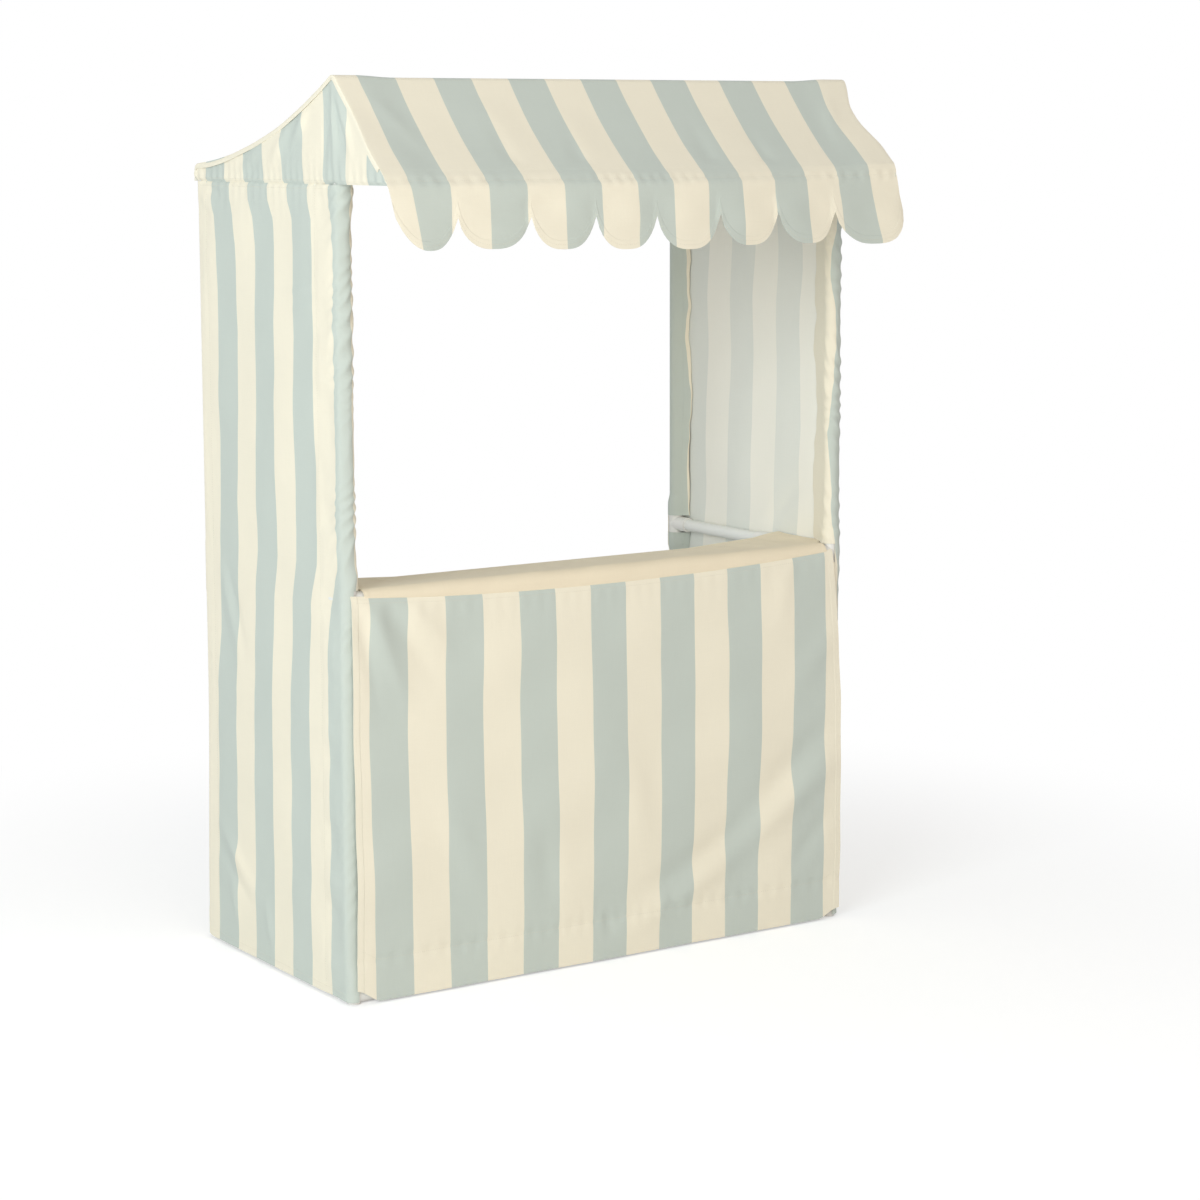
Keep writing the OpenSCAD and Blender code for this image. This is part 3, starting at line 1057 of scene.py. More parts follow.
print("the bands turn down", round(BAND_DOWN[-1] / MM, 1), "mm")

# %% [markdown]
# Each scallop is cut to a rounded curve, and they are not all quite alike. A grid can
# follow such an edge if every row takes the same share of the fall: the rows then crowd
# together above the points where two scallops meet. `VALANCE_FALL` is about how far a
# scallop falls at its middle.

# %% The valance's rows
SCALLOP_H = 44 * MM
VALANCE_FALL = 88 * MM
VALANCE_Y = AWNING[0] - 37.5 * MM
VALANCE_ROWS = 22


def valance_rows(x):
    """(y, z) rows below the bend, their fall, their distance to the cut, and the whole fall."""
    marks = cusps()
    scallop = np.clip(np.searchsorted(marks, x, side="right") - 1, 0, SCALLOPS - 1)
    place = 2 * (x - marks[scallop]) / (marks[scallop + 1] - marks[scallop]) - 1
    draw = np.random.default_rng(5)
    drops = draw.uniform(-6, 4, SCALLOPS)[scallop] * MM
    curve = (1 - np.clip(np.abs(place), 0, 1) ** 2.7) ** 0.70
    edge_z = VALANCE_LOW + SCALLOP_H * (1 - curve) + drops * (0.4 + 0.6 * curve)

    share = np.linspace(0, 1, VALANCE_ROWS + 1)[1:, None]
    fall = share * (BEND_Z - edge_z)
    z = BEND_Z - fall
    straighter = 0.55 + 0.75 * smooth(x, 0.02, 0.43)
    forward = np.clip(fall / VALANCE_FALL, 0, 1) ** straighter
    y = bend_y(x) + (VALANCE_Y - bend_y(x)) * forward
    tilt = draw.uniform(0.2, 1.0, SCALLOPS)[scallop] * place
    y = y + (2.6 * tilt + 1.4 * place**2) * MM * share**1.5
    to_cut = (z - edge_z) * (0.55 + 0.45 * curve)
    return np.stack([y, z], -1), fall, to_cut, BEND_Z - edge_z


print("valance:", SCALLOPS, "scallops,", round(VALANCE_FALL / MM), "mm deep")

# %% [markdown]
# The slope's folds run between the ridge and the awning bar. Just below the bar a line of
# stitches closes the casing that holds it, and the cloth puckers along that line. The
# ripples fade out near both bars, so that no bar can show through the cloth.

# %% Relief of the front slope
SEAM_ABOVE_BEND = 8 * MM
SLOPE_FOLDS = [
    ((-0.400, 0.02), (-0.330, 0.17), 16 * MM, 1.8 * MM, 0.4),
    ((-0.215, 0.20), (-0.225, 0.04), 13 * MM, -1.8 * MM, 0.2),
    ((-0.110, 0.20), (-0.100, 0.06), 12 * MM, -1.6 * MM, 0.2),
    ((0.110, 0.20), (0.120, 0.05), 13 * MM, -1.8 * MM, 0.2),
    ((0.215, 0.20), (0.205, 0.06), 12 * MM, -1.8 * MM, 0.2),
    ((0.400, 0.02), (0.345, 0.17), 16 * MM, 1.8 * MM, 0.4),
]


def front_relief(x, along, bend_at):
    """Height of the cloth over its profile; along is measured from the ridge."""
    span = smooth(along, 0.030, 0.075) * smooth(along, 0.166, 0.130)
    height = ripples(x + 0 * along, along, 31, 1.3 * MM, 0.24, 0.11) * span
    height = height + folds(x + 0 * along, along, SLOPE_FOLDS) * smooth(along, 0.02, 0.05)
    height = np.maximum(height, -2.2 * MM * smooth(along, 0.175, 0.150))
    below = smooth(along, bend_at + 4 * MM, bend_at + 30 * MM)
    height = height + ripples(x + 0 * along, along, 37, 1.1 * MM, 0.09, 0.05) * below
    puckers = np.sin(2 * math.pi * x / (21 * MM) + 4 * np.sin(11 * x))
    patchy = 0.35 + 0.65 * smooth(ripples(x, 0 * x, 83, 1.0, 0.23, 0.1), -0.5, 0.7)
    from_seam = along - (bend_at - SEAM_ABOVE_BEND)
    height = height + 0.9 * MM * puckers * patchy * np.exp(-((from_seam / (8 * MM)) ** 2))
    return height - 1.3 * MM * np.exp(-((from_seam / (2.6 * MM)) ** 2))


print("folds on the front slope:", len(SLOPE_FOLDS))

# %% [markdown]
# Now the parts come together: the slope over both bars, a short curve on to the bend, and
# the valance below it. The grid is made twice, first smooth, to know its normals, and
# then with the relief and the side bands.

# %% Shape of the front slope
APPROACH_ROWS = 6
HEM_ABOVE_CUT = 6 * MM


def roof_front():
    """The sheet and its kept cells, the marks along X, and the runs of seam and hem."""
    x = stops(4.9 * MM, *cusps())
    slope = fat_ends(x, FRONT_TUBE, FRONT_HUB)
    bend = np.stack([bend_y(x), BEND_Z + 0 * x], -1)
    on = np.linspace(0, 1, APPROACH_ROWS + 1)[1:, None, None]
    middle = (slope[-1] + bend) / 2 + np.array([-1.6 * MM, 1.2 * MM])
    approach = slope[-1] * (1 - on) ** 2 + 2 * middle * on * (1 - on) + bend * on**2
    hanging, fall, to_cut, whole_fall = valance_rows(x)
    points = drawn_out(x, np.concatenate([slope, approach, hanging]))

    slope_run = run_length(FRONT_HUB)
    to_bend = np.concatenate([slope_run, slope_run[-1] + 27 * MM * on[:, 0, 0]])
    bend_at = to_bend[-1]
    even_fall = np.linspace(0, VALANCE_FALL, VALANCE_ROWS + 1)[1:]
    rows = np.concatenate([to_bend, bend_at + even_fall])
    along = np.concatenate([to_bend[:, None] + 0 * x, bend_at + fall])

    wide = np.abs(points[..., 0])
    for side in (-1, 1):
        inward = drawn_in(points[..., 1], side) * smooth(wide, HALF_W - 110 * MM, HALF_W)
        points[..., 0] -= side * inward * (x * side > 0)
    swing = smooth(x, -0.33, -HALF_W) * 20 * MM + 13 * MM * smooth(x, 0.30, HALF_W)
    points[..., 0] += swing * np.clip((along - bend_at) / VALANCE_FALL, 0, 1)

    sheet = Sheet(points, x + ROOF_SHIFT, -along, NO_HEM, (0, -1, 1), rows, x)
    points = points + sheet.normals * front_relief(x, along, bend_at)[..., None]
    to_side = (HALF_W - np.abs(x)) + 0 * along
    above_bend = np.full((len(to_bend), len(x)), NO_HEM)
    edge = np.minimum(to_side + NO_HEM, np.concatenate([above_bend, to_cut]))
    points, wide_x, along, edge = banded(points, sheet.normals, x, along, edge)
    sheet = Sheet(points, wide_x + ROOF_SHIFT, -along, edge, (0, -1, 1), rows, wide_x)
    on_slope = np.arange(len(rows) - 1)[:, None] < len(slope) - 3
    hem = bend_at + (1 - HEM_ABOVE_CUT / whole_fall) * VALANCE_FALL
    return sheet, on_slope | ~on_band(wide_x), x, bend_at - SEAM_ABOVE_BEND, hem


print("slope to bend in", APPROACH_ROWS, "rows, hem stitched", round(HEM_ABOVE_CUT / MM), "mm up")

# %% [markdown]
# The front slope is sewn along the awning bar's casing, along the ridge, and round the
# scallops. It takes the place of two of the frame's plain sheets, the slope and the
# valance, because on the real stall they are one length of cloth.

# %% Front slope and valance
front_sheet, front_kept, roof_x, seam_run, hem_run = roof_front()
roof_front_piece = front_sheet.make("roof_front_cloth", STRIPED, front_kept)
inner_x = roof_x[2:-2]
front_sheet.sew(np.full_like(inner_x, seam_run), inner_x)
front_sheet.sew(np.full_like(inner_x, 10 * MM), inner_x)
front_sheet.sew(hem_run[2:-2], inner_x)
roof_front_thread = front_sheet.thread("roof_front_thread")
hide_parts("roof_front", "valance")
round(front_sheet.area(front_kept), 3)

# %% [markdown]
# The casing that holds the awning bar is a strip sewn inside: it leaves the slope just
# above the bar, passes behind and under it, and meets the valance at the stitched crease.

# %% Awning casing
CASING_ROWS = 5


def casing(path, last, x, name, shift):
    """A strip of cloth along X: one (y, z) path, carried on to last, a point for each x."""
    on = np.linspace(0, 1, CASING_ROWS + 1)[1:, None, None]
    end = path[-1] * (1 - on) + last * on
    start = np.broadcast_to(path[:, None, :], (len(path), len(x), 2))
    profile = np.concatenate([start, np.broadcast_to(end, (CASING_ROWS, len(x), 2))])
    run = run_length(profile[:, len(x) // 2])
    points = drawn_out(x, profile)
    sheet = Sheet(points, x + shift, run[:, None], NO_HEM, (0, 0, -1), run, x)
    wave = ripples(x + 0 * run[:, None], run[:, None], len(name), 0.35 * MM, 0.13, 0.06)
    points = points + sheet.normals * wave[..., None]
    sheet = Sheet(points, x + shift, run[:, None], NO_HEM, (0, 0, -1), run, x)
    piece = sheet.make(name, STRIPED)


CASING_X = SOCKET_END_X - 2 * MM
casing_x = stops(8 * MM, -CASING_X, CASING_X)
under_bar = arc(AWNING, TUBE_R + 1.4 * MM, 52, -118, 3 * MM)
slope_inside = under_bar[0] + np.array([15 * MM, 11 * MM])
seam_inside = np.stack([bend_y(casing_x) + 7 * MM, BEND_Z + 4 * MM + 0 * casing_x], -1)
casing(joined(line(slope_inside, under_bar[0], 4 * MM), under_bar), seam_inside,
       casing_x, "awning_casing", ROOF_SHIFT)

# %% [markdown]
# ## Back slope
# The back slope is the longer one and hangs in a deeper curve. It goes round the back
# eave bar, and in the middle it turns under the bar and comes back up to be sewn to
# itself. At the corners, where the posts come up, there is no room to turn, so there it
# drops straight past the connector. A grid can do both: its lower rows are blended
# from the round path to the straight one, and the turned-under rows are left out at the
# ends.

# %% Shape of the back slope
RETURN_LENGTH = 39 * MM
BACK_FOLDS = [
    ((-0.430, 0.02), (-0.300, 0.26), 20 * MM, 2.2 * MM, 0.3),
    ((0.430, 0.02), (0.300, 0.26), 20 * MM, 2.2 * MM, 0.3),
    ((-0.430, 0.43), (-0.250, 0.20), 18 * MM, 2.4 * MM, 0.25),
    ((0.430, 0.43), (0.250, 0.20), 18 * MM, 2.4 * MM, 0.25),
]


def roof_back():
    """The back slope's sheet and its kept cells, its marks along X, and where it lands."""
    x = stops(6 * MM, -HALF_W, HALF_W)
    slope = fat_ends(x, BACK_TUBE, BACK_HUB)
    turn = np.radians(np.linspace(0, -90, 9))[1:, None]
    radius = slope[-1, :, 0] - BACK_EAVE[0]
    straight = smooth(np.abs(x), CASING_X - 4 * MM, CASING_X + 10 * MM)
    round_y = BACK_EAVE[0] + radius * (np.cos(turn) * (1 - straight) + straight)
    round_z = BACK_EAVE[1] + radius * np.sin(turn) * (1 - 0.09 * straight)
    under = np.stack([round_y, round_z], -1)
    home = np.array([BACK_EAVE[0] - 36 * MM, BACK_EAVE[1] + 4.5 * MM])
    back_up = np.linspace(0, 1, 9)[1:, None, None]
    return_path = under[-1] * (1 - back_up) + home * back_up
    profile = np.concatenate([slope, under, return_path])

    slope_run = run_length(BACK_HUB)
    under_run = slope_run[-1] + SLEEVE_R * -turn[:, 0]
    return_run = under_run[-1] + RETURN_LENGTH * back_up[:, 0, 0]
    rows = np.concatenate([slope_run, under_run, return_run])
    along = rows[:, None] + 0 * x
    points = drawn_out(x, profile)
    sheet = Sheet(points, x + ROOF_SHIFT, along, NO_HEM, (0, 1, 1), rows, x)
    lands = slope_run[-1]
    span = smooth(along, 0.03, 0.09) * smooth(along, lands - 10 * MM, lands - 60 * MM)
    wide = x + 0 * along
    height = ripples(wide, along, 43, 1.6 * MM, 0.33, 0.17, 0.08) + folds(wide, along, BACK_FOLDS)
    points = points + sheet.normals * (height * span)[..., None]
    points, wide_x, along = banded(points, sheet.normals, x, along)
    sheet = Sheet(points, wide_x + ROOF_SHIFT, along, NO_HEM, (0, 1, 1), rows, wide_x)
    middle_row = np.arange(len(rows) - 1)[:, None] + 0.5
    turned = middle_row > len(slope) + len(under) - 1
    at_ends = np.abs((wide_x[1:] + wide_x[:-1]) / 2) > CASING_X
    past_slope = middle_row > len(slope) - 4
    kept = ~(turned & at_ends) & ~(past_slope & on_band(wide_x))
    return sheet, kept, x, lands


print("the turned-under cloth comes back", round(RETURN_LENGTH / MM), "mm")

# %% [markdown]
# Two rows of stitches hold it: one along the ridge, and one where the cloth that was
# turned under the back bar is sewn to itself.

# %% Back slope
back_sheet, back_kept, back_x, back_run = roof_back()
roof_back_piece = back_sheet.make("roof_back_cloth", STRIPED, back_kept)
for seam in (10 * MM, back_run - 48 * MM):
    back_sheet.sew(np.full_like(back_x[2:-2], seam), back_x[2:-2])
roof_back_thread = back_sheet.thread("roof_back_thread")
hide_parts("roof_back")

# %% [markdown]
# ## Gables
# A gable closes the triangle between the two slopes and the top of the wall. Its upper
# edge follows the same profiles as the slopes. The cloth is gathered into the corner at
# the ridge, so soft gathers fan down from there.

# %% Edges and folds of a gable
GABLE_FOLDS = [
    ((-0.144, 1.285), (-0.152, 1.138), 6 * MM, 2.2 * MM, 0.35),
    ((-0.140, 1.285), (-0.184, 1.138), 7 * MM, -1.8 * MM, 0.4),
    ((-0.136, 1.285), (-0.118, 1.138), 7 * MM, -1.6 * MM, 0.4),
    ((-0.140, 1.280), (-0.214, 1.140), 7 * MM, 1.8 * MM, 0.4),
    ((-0.080, 1.250), (-0.018, 1.175), 9 * MM, 2.0 * MM, 0.4),
    ((-0.030, 1.225), (0.050, 1.145), 10 * MM, 1.6 * MM, 0.4),
    ((0.060, 1.190), (0.150, 1.142), 9 * MM, 1.3 * MM, 0.4),
]


def gable_edges(y, side):
    """Lower and upper edge of a gable at each y."""
    bend = np.array([bend_y(side * HALF_W), BEND_Z])
    front = joined(FRONT_HUB, line(FRONT_HUB[-1], bend, 5 * MM))[::-1]
    top = np.where(
        y < RIDGE[0],
        np.interp(y, front[:, 0], front[:, 1]),
        np.interp(y, BACK_HUB[:, 0], BACK_HUB[:, 1]),
    )
    past = np.maximum(y - BACK_EAVE[0], 0)
    half = np.sqrt(np.maximum(SLEEVE_R**2 - past**2, 0))
    top = np.where(past > 0, EAVE_Z + half, top)
    bottom = np.where(past > 0, np.maximum(SEAM_Z, EAVE_Z - half), SEAM_Z)
    return np.minimum(bottom, top), top


print("a gable is", round(float(RIDGE[1] + SLEEVE_R - SEAM_Z), 3), "m high at the ridge")

# %% [markdown]
# The grid's rows are spread from the lower edge to the upper one, so they crowd together
# where the gable is low. The folds and ripples fade out at both seams. The gathers of the
# seam with the wall rise a little way up from it. The gable's upper edge is drawn in with
# the front slope's, so that the two stay together.

# %% Gables
GABLE_SHIFT = 149 * MM


def gable(side):
    """One gable: side is -1 for the left and 1 for the right."""
    first, last = bend_y(side * HALF_W) + 1 * MM, BACK_EAVE[0] + SLEEVE_R
    y = stops([2.5 * MM, 5 * MM, 2.5 * MM, 5 * MM, 2.5 * MM], first, AWNING[0] + 6 * MM,
              RIDGE[0] - 26 * MM, RIDGE[0] + 15 * MM, BACK_EAVE[0] - 6 * MM, last)
    bottom, top = gable_edges(y, side)
    share = np.concatenate([[0, 0.012, 0.03], np.linspace(0.06, 0.94, 24), [0.97, 1]])[:, None]
    z = bottom + share * (top - bottom)
    wide = y + 0 * z
    room = smooth(z, SEAM_Z + 1 * MM, SEAM_Z + 14 * MM) * smooth(top - z, 0, 12 * MM)
    height = folds(wide, z, GABLE_FOLDS) * 2.1 + ripples(wide, z, 51, 1.4 * MM, 0.13, 0.06)
    height = height * room
    gathers = np.sin(2 * math.pi * y / (19 * MM) + 5 * np.sin(8 * y))
    ease = np.exp(-(z - SEAM_Z) / (18 * MM)) * smooth(top - z, 0, 0.01)
    height = height + 1.9 * MM * gathers * ease * smooth(z - SEAM_Z, 0, 6 * MM)
    height = np.maximum(height, -2.2 * MM) - 2.4 * MM * smooth(z - bottom, 5 * MM, 0)
    height = height - 1.0 * MM * smooth(top - z, 4 * MM, 0)
    height = height - drawn_in(wide, side) * smooth(z, EAVE_Z + 17 * MM, EAVE_Z + 60 * MM)
    points = np.stack([side * (HALF_W - 0.3 * MM + height), wide, z], -1)
    edge = np.minimum(z - bottom, top - z) + 0.1
    return Sheet(points, y + GABLE_SHIFT, z, edge, (side, 0, 0), share[:, 0], y)


for side, word in ((-1, "left"), (1, "right")):
    sheet = gable(side)
    piece = sheet.make(f"gable_cloth_{word}", STRIPED)
    stretch = np.linspace(FRONT_Y, BACK_Y, 90)
    lower, upper = gable_edges(stretch, side)
    sheet.sew(5 * MM / (upper - lower), stretch)
    sheet.sew(1 - 5 * MM / (upper - lower), stretch)
    thread = sheet.thread(f"gable_thread_{word}")
    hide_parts(f"{word}_gable")
    round(sheet.area(), 4)

# %% [markdown]
# ## The counter
# A plain cream cloth lies over the nose bar, falls a little to the shelf bar, turns round
# it and is sewn to its own underside. At each end it has to climb over the side rail,
# which sits higher than the shelf bar, so its back corners lift. In front of the posts it
# is narrower than behind them, which leaves a gap where the white connector shows.

# %% Lines of the counter
END_GAP = 4.5 * MM
COUNTER_NOSE_X = POST_X - SLEEVE_R - END_GAP
COUNTER_WING_X = HALF_W - 2.2 * MM
LIFT_AT = (260 * MM, 300 * MM, 340 * MM, 385 * MM, 412 * MM, 430 * MM)
LIFT_SHARE = (0, 0.18, 0.34, 0.52, 0.86, 1)


def panel_seam(x):
    """Height of the seam between the counter's nose and the front panel."""
    return NOSE[1] + 5 * MM - 16 * MM * (1 - np.clip(np.abs(x) / 422, 0, MM) ** 2.2 / MM**2.2)


def nose_front(z):
    """How far forward the cloth lies at height z on the nose, round the bar or below it."""
    rise = np.clip(z - NOSE[1], 0, NOSE_R)
    return NOSE[0] - np.sqrt(NOSE_R**2 - rise**2)


print("the counter is", round(COUNTER_NOSE_X * 2, 3), "m wide in front of the posts and",
      round(COUNTER_WING_X * 2, 3), "m behind them")

# %% [markdown]
# The cloth's profile is drawn from the nose round the shelf bar and back up, and each of
# its rows is as wide as the place allows. The nose needs a few rows more, down to the
# seam with the front panel. The relief is low, because the cloth is pulled tight: creases
# that run from front to back, and a slight unevenness on the nose.

# %% Width and relief of the counter
NOSE_RUN = 22 * MM
COUNTER_CELLS = 150


def row_width(y, run, top_end):
    """Half of the cloth's width at each point of its profile, and how far it has turned."""
    behind = smooth(y, NOSE[0] + 13 * MM, NOSE[0] + 22 * MM)
    wide = COUNTER_NOSE_X + (COUNTER_WING_X - COUNTER_NOSE_X) * behind
    turned = smooth(run, top_end - 4 * MM, top_end + 10 * MM)
    wide = wide * (1 - turned) + (COUNTER_NOSE_X - 3 * MM) * turned
    under = smooth(run, top_end + 22 * MM, top_end + 34 * MM)
    return wide * (1 - under) + CASING_X * under, turned


def counter_relief(x, level, top_end):
    """Height of the creases and the unevenness; level is measured from the seam."""
    lying = smooth(level, 30 * MM, 55 * MM) * smooth(level, top_end, top_end - 25 * MM)
    height = ripples(x, level, 61, 0.9 * MM, 0.16, 0.08) * lying
    creases = np.sin(2 * math.pi * x / (34 * MM) + 6 * np.sin(7 * x))
    height = height + 0.6 * MM * creases * smooth(level, 60 * MM, 130 * MM) * lying
    rounded = smooth(level, 0, 20 * MM) * smooth(level, 60 * MM, 30 * MM)
    return height + ripples(x, level, 67, 0.5 * MM, 0.12, 0.05) * rounded


print("from the seam to the nose's top is", round(NOSE_RUN / MM), "mm")

# %% [markdown]
# The rows are put together here. Between the nose and the shelf bar each row falls a
# little, and `LIFT_SHARE` says how much of that fall is given back towards the ends,
# where the cloth climbs over the side rails.

# %% Counter cloth


def counter():
    """The counter's sheet, and how far along it the top ends."""
    top = hung(NOSE, 150, SHELF, 80, NOSE_R, 1.5, -1, (10, 30, 4))
    around = arc(SHELF, NOSE_R, 80, -90, 3 * MM)
    home = np.array([SHELF[0] - 36 * MM, SHELF[1] + NOSE_R + 1.2 * MM])
    profile = joined(top, around, line(around[-1], home, 4 * MM))
    across = np.linspace(-1, 1, COUNTER_CELLS + 1)

    y, z = profile[:, 0], profile[:, 1]
    run = run_length(profile)
    top_end = run_length(top)[-1]
    wide, turned = row_width(y, run, top_end)
    x = wide[:, None] * across
    fall = np.clip((y - NOSE[0]) / (SHELF[0] - NOSE[0]), 0, 1) * SHELF_DROP
    share = np.interp(np.abs(x), LIFT_AT, LIFT_SHARE)
    lifted = z[:, None] + share * (fall * (1 - turned))[:, None]

    first = np.linspace(0, 1, 8)[:-1, None]
    x_front = x[:1] + 0 * first
    seam = panel_seam(x_front)
    z_front = seam - 4 * MM + first * (profile[0, 1] - seam + 4 * MM)
    y_front = nose_front(z_front) + 2.0 * MM * smooth(z_front, seam + 2 * MM, seam - 4 * MM)
    x = np.concatenate([x_front, x])
    y = np.concatenate([y_front, np.broadcast_to(y[:, None], lifted.shape)])
    z = np.concatenate([z_front, lifted])
    rows = np.concatenate([first[:, 0] * NOSE_RUN, NOSE_RUN + run])
    level = rows[:, None] + 0 * x
    points = np.stack([x, y, z], -1)
    sheet = Sheet(points, x, level, NO_HEM, (0, 0, 1), rows, across)
    points = points + sheet.normals * counter_relief(x, level, NOSE_RUN + top_end)[..., None]
    edge = np.minimum(wide.max() * (1 - np.abs(across)) + 0.004, NO_HEM)
    sheet = Sheet(points, x, level, edge, (0, 0, 1), rows, across)
    return sheet, NOSE_RUN + top_end


counter_sheet, counter_top_run = counter()
counter_piece = counter_sheet.make("counter_canvas", PLAIN)
shares = np.linspace(-0.985, 0.985, 130)
counter_sheet.sew(np.full_like(shares, counter_top_run - 30 * MM), shares)
counter_thread = counter_sheet.thread("counter_thread")
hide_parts("counter_cloth")
round(counter_sheet.area(), 3)

# %% [markdown]
# ## The front panel
# The panel hangs from the nose seam to the floor. It is sewn up a little wider than the
# frame, and its lower right corner is caught back, so a long drag fold runs from the
# right edge down towards the middle of the hem, and short folds fan from the upper left
# corner.

# %% Folds of the front panel
PANEL_FACE = low("front_panel").y
PANEL_FLOOR = 2.4 * MM
PANEL_CELLS = 170
CASING_Z = BOTTOM[1] + 50 * MM
PANEL_FOLDS = [
    ((0.440, 0.330), (0.170, 0.130), 24 * MM, -5.0 * MM, 0.35),
    ((0.290, 0.190), (-0.020, 0.055), 20 * MM, -4.2 * MM, 0.4),
    ((0.440, 0.270), (0.160, 0.085), 22 * MM, 5.0 * MM, 0.35),
    ((0.260, 0.135), (-0.010, 0.020), 17 * MM, 3.4 * MM, 0.4),
    ((0.425, 0.190), (0.300, 0.060), 16 * MM, -2.6 * MM, 0.4),
    ((0.436, 0.480), (0.300, 0.330), 22 * MM, 2.6 * MM, 0.35),
    ((-0.405, 0.590), (-0.320, 0.380), 14 * MM, 4.4 * MM, 0.3),
    ((-0.415, 0.575), (-0.375, 0.380), 11 * MM, -3.0 * MM, 0.3),
    ((-0.380, 0.580), (-0.265, 0.410), 15 * MM, -3.2 * MM, 0.3),
    ((-0.350, 0.575), (-0.230, 0.450), 16 * MM, 2.8 * MM, 0.3),
    ((0.330, 0.585), (0.300, 0.440), 14 * MM, 1.8 * MM, 0.3),
    ((-0.290, 0.300), (-0.210, 0.120), 22 * MM, 2.6 * MM, 0.5),
    ((-0.120, 0.250), (-0.100, 0.060), 20 * MM, -2.6 * MM, 0.5),
    ((0.040, 0.330), (0.060, 0.140), 22 * MM, 2.4 * MM, 0.5),
    ((-0.010, 0.080), (0.008, 0.030), 9 * MM, -2.4 * MM, 0.5),
    ((0.105, 0.095), (0.118, 0.045), 9 * MM, -2.4 * MM, 0.5),
]

print("listed folds on the panel:", len(PANEL_FOLDS))

# %% [markdown]
# The panel is a grid from side to side and from the seam to the floor. Its right edge is
# caught back by a different amount at each height, and its lower corners rise a little
# off the floor. In front of the posts the cloth can't be pressed in, and between them it
# can. The ripples and the folds are heights in front of the nose, and the stitches that
# hold the casing press a line into them.

# %% Shape of the front panel
RIGHT_EDGE_Z = (0, 104 * MM, 341 * MM, 500 * MM, 560 * MM)
RIGHT_EDGE_X = (426 * MM, 428 * MM, 425 * MM, 417 * MM, 411 * MM)


def front_panel():
    """The front panel's sheet, from the nose seam down to the floor."""
    across = np.linspace(0, 1, PANEL_CELLS + 1)
    level = np.concatenate([[0, 0.004, 0.009], np.linspace(0.015, 1, 112)])[:, None]
    rough_z = NOSE[1] * (1 - level)
    right = np.interp(rough_z, RIGHT_EDGE_Z, RIGHT_EDGE_X)
    left = -PANEL_X - 0.8 * MM
    x = left + (right - left) * across
    cut = np.where(x < 0, 19 * MM, 13 * MM)
    corner = cut * smooth(np.abs(x), PANEL_X - 38 * MM, PANEL_X + 2 * MM)
    foot = PANEL_FLOOR + corner
    seam = panel_seam(x)
    top = seam + 2.5 * MM
    z = top + (foot - top) * level

    free = smooth(np.abs(x), POST_X - 8 * MM, POST_X - 34 * MM)
    height = ripples(x, z, 71, 3.2 * MM, 0.42, 0.21, 0.12) * smooth(level, 0, 0.16)
    height = height * (0.35 + 0.65 * smooth(level, 1, 0.86)) + 2.4 * MM * smooth(level, 0, 0.2)
    height = height + folds(x, z, PANEL_FOLDS)
    puckers = np.sin(2 * math.pi * x / (24 * MM) + 5 * np.sin(8 * x))
    height = height + 0.8 * MM * puckers * np.exp(-(seam - z) / (16 * MM))
    height = height + 0.5 * MM * puckers * np.exp(-(((z - CASING_Z) / (12 * MM)) ** 2))
    height = height - 1.1 * MM * np.exp(-(((z - CASING_Z) / (4 * MM)) ** 2))
    height = height + 1.2 * MM
    least = -0.3 * MM - 5 * MM * free * smooth(z, 20 * MM, 90 * MM)
    height = np.maximum(height, least)
    y = np.minimum(nose_front(z), NOSE[0] - NOSE_R + 0.4 * MM)
    y = y - height * smooth(seam - z, -2 * MM, 14 * MM)
    y = y - 0.7 * MM + 1.8 * MM * smooth(z, seam - 4 * MM, seam + 2 * MM)
    points = np.stack([x, y, z], -1)
    to_sides = np.minimum(x - left, right - x)
    edge = np.minimum(np.minimum(z - PANEL_FLOOR + 0.2, seam - z + 0.1), to_sides + 0.002)
    waver = ripples(0.35 * x, z, 79, 2.4 * MM, 0.36, 0.19) * smooth(level, 0, 0.15)
    print_x = x / 1.014 + waver
    return Sheet(points, print_x, z, edge, (0, -1, 0), level[:, 0], across)


print("the panel's right edge is at", RIGHT_EDGE_X[0], "m at the floor")

# %% [markdown]
# The panel is sewn along its casing and along the floor.

# %% Front panel
panel_sheet = front_panel()
panel_piece = panel_sheet.make("front_panel_cloth", STRIPED)
shares = np.linspace(0.006, 0.994, 150)
casing_level = 1 - (CASING_Z - PANEL_FLOOR) / (NOSE[1] - PANEL_FLOOR)
for seam_level in (casing_level, 0.016):
    panel_sheet.sew(np.full_like(shares, seam_level), shares)
panel_thread = panel_sheet.thread("front_panel_thread")
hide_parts("front_panel")

# %% [markdown]
# The panel's own hem is turned up behind the bottom bar and sewn at the stitch line, so
# the bar sits in a casing. From behind, the printed face shows on it.

# %% Front casing
around_bar = arc(BOTTOM, TUBE_R + 1.2 * MM, 22, -158, 3 * MM)
casing_top = np.array([PANEL_FACE + 2.6 * MM, CASING_Z])
casing_front = np.array([PANEL_FACE + 2.2 * MM, 7 * MM])
casing(joined(line(casing_top, around_bar[0], 4 * MM), around_bar),
       casing_front + 0 * casing_x[:, None], casing_x, "front_panel_casing",
       0)

# %% [markdown]
# ## Light
# The stall stands in the soft light of a plain room. A wide lamp on the left, its middle
# a little above the ridge, gives the walls and the folds their shade. It is slightly cool,
# like daylight. A weak warm lamp near the camera fills the front, and an even world fills
# the rest. The levels add up to a plain exposure, at which a colour renders
# about as it is written. The white round the stall is what the camera and the glossy
# surfaces see, and adds no light to the cloth.

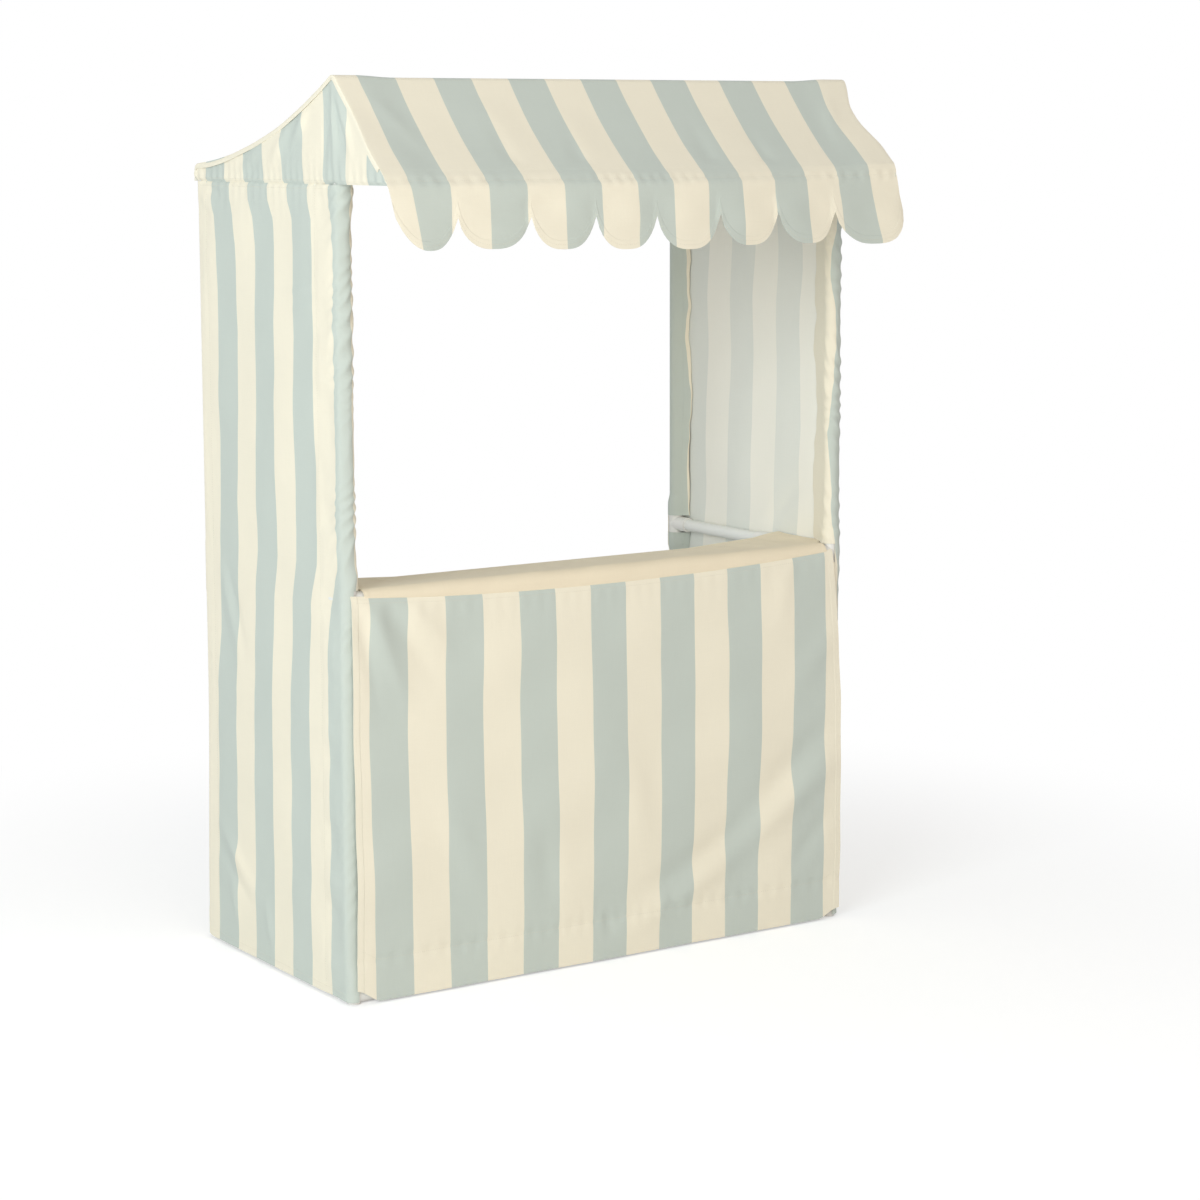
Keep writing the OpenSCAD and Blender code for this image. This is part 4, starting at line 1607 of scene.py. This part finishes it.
# %% Lamps and world
WORLD_LEVEL = 0.60
LAMPS = [
    ("key", (-3.6, -2.2, 1.7), 2.2, 88, (0.88, 0.97, 1.0)),
    ("fill", (-1.4, -4.2, 1.3), 2.2, 30, (1.0, 0.76, 0.52)),
]


def lamp(name, place, size, power, tint):
    """A square soft lamp aimed at the middle of the stall."""
    light = bpy.data.lights.new(name, "AREA")
    light.shape = "SQUARE"
    light.size = size
    light.energy = power
    light.color = tint
    stand = bpy.data.objects.new(name, light)
    bpy.context.scene.collection.objects.link(stand)
    stand.location = place
    aim = Vector((0, 0, 0.65)) - Vector(place)
    stand.rotation_euler = aim.to_track_quat("-Z", "Y").to_euler()


def seen_white(tree, level):
    """An emission of level, but plain white to the camera and to glossy surfaces."""
    path = tree.nodes.new("ShaderNodeLightPath")
    seen = tree.nodes.new("ShaderNodeMath")
    seen.operation = "MAXIMUM"
    tree.links.new(path.outputs["Is Camera Ray"], seen.inputs[0])
    tree.links.new(path.outputs["Is Glossy Ray"], seen.inputs[1])
    strength = tree.nodes.new("ShaderNodeMapRange")
    strength.inputs["To Min"].default_value = level
    tree.links.new(seen.outputs[0], strength.inputs["Value"])
    return strength.outputs[0]


world = bpy.data.worlds.new("studio")
world.use_nodes = True
bpy.context.scene.world = world
background = world.node_tree.nodes["Background"]
background.inputs["Color"].default_value = (1, 1, 1, 1)
world.node_tree.links.new(seen_white(world.node_tree, WORLD_LEVEL), background.inputs["Strength"])
for one in LAMPS:
    lamp(*one)
bpy.context.scene.view_settings.view_transform = "Standard"
print("lamps:", [one[0] for one in LAMPS])

# %% [markdown]
# ## Floor
# A floor under an object has to catch its shadow, but a pale backdrop has no edge. So
# near the stall the floor is a plain diffuse surface with a faint glow, and further out
# it fades to white for the camera only. Light that bounces off it sees a plain pale floor
# all over.

# %% Floor
FLOOR_GLOW = 0.38
FLOOR_TINT = (0.8, 0.8, 0.8, 1)


def studio_floor():
    """A pale floor that keeps the stall's shadow and fades to plain white further out."""
    finish = Finish("studio_floor")
    seen = finish.node("ShaderNodeLightPath").output("Is Camera Ray")
    place = finish.node("ShaderNodeTexCoord").output("Object")
    distance = finish.node("ShaderNodeVectorMath", {"operation": "LENGTH"}, {0: place})
    far = finish.step(distance.output("Value"), 0.7, 1.6)
    diffuse = finish.node("ShaderNodeBsdfDiffuse", inputs={"Color": FLOOR_TINT})
    glow = finish.node("ShaderNodeEmission", inputs={"Strength": FLOOR_GLOW})
    near = finish.node("ShaderNodeAddShader", inputs={0: diffuse, 1: glow})
    white = finish.node("ShaderNodeEmission", inputs={"Strength": 1.0})
    both = finish.node("ShaderNodeMixShader", inputs={0: far, 1: near, 2: white})
    shown = finish.node("ShaderNodeMixShader", inputs={0: seen, 1: diffuse, 2: both})
    finish.node("ShaderNodeOutputMaterial", inputs={"Surface": shown})
    return finish.material


bpy.ops.mesh.primitive_plane_add(size=40, location=(0, 0, -0.5 * MM))
floor = bpy.context.object
floor.name = "floor"
floor.data.materials.append(studio_floor())
print("floor:", round(floor.dimensions.x), "m across")
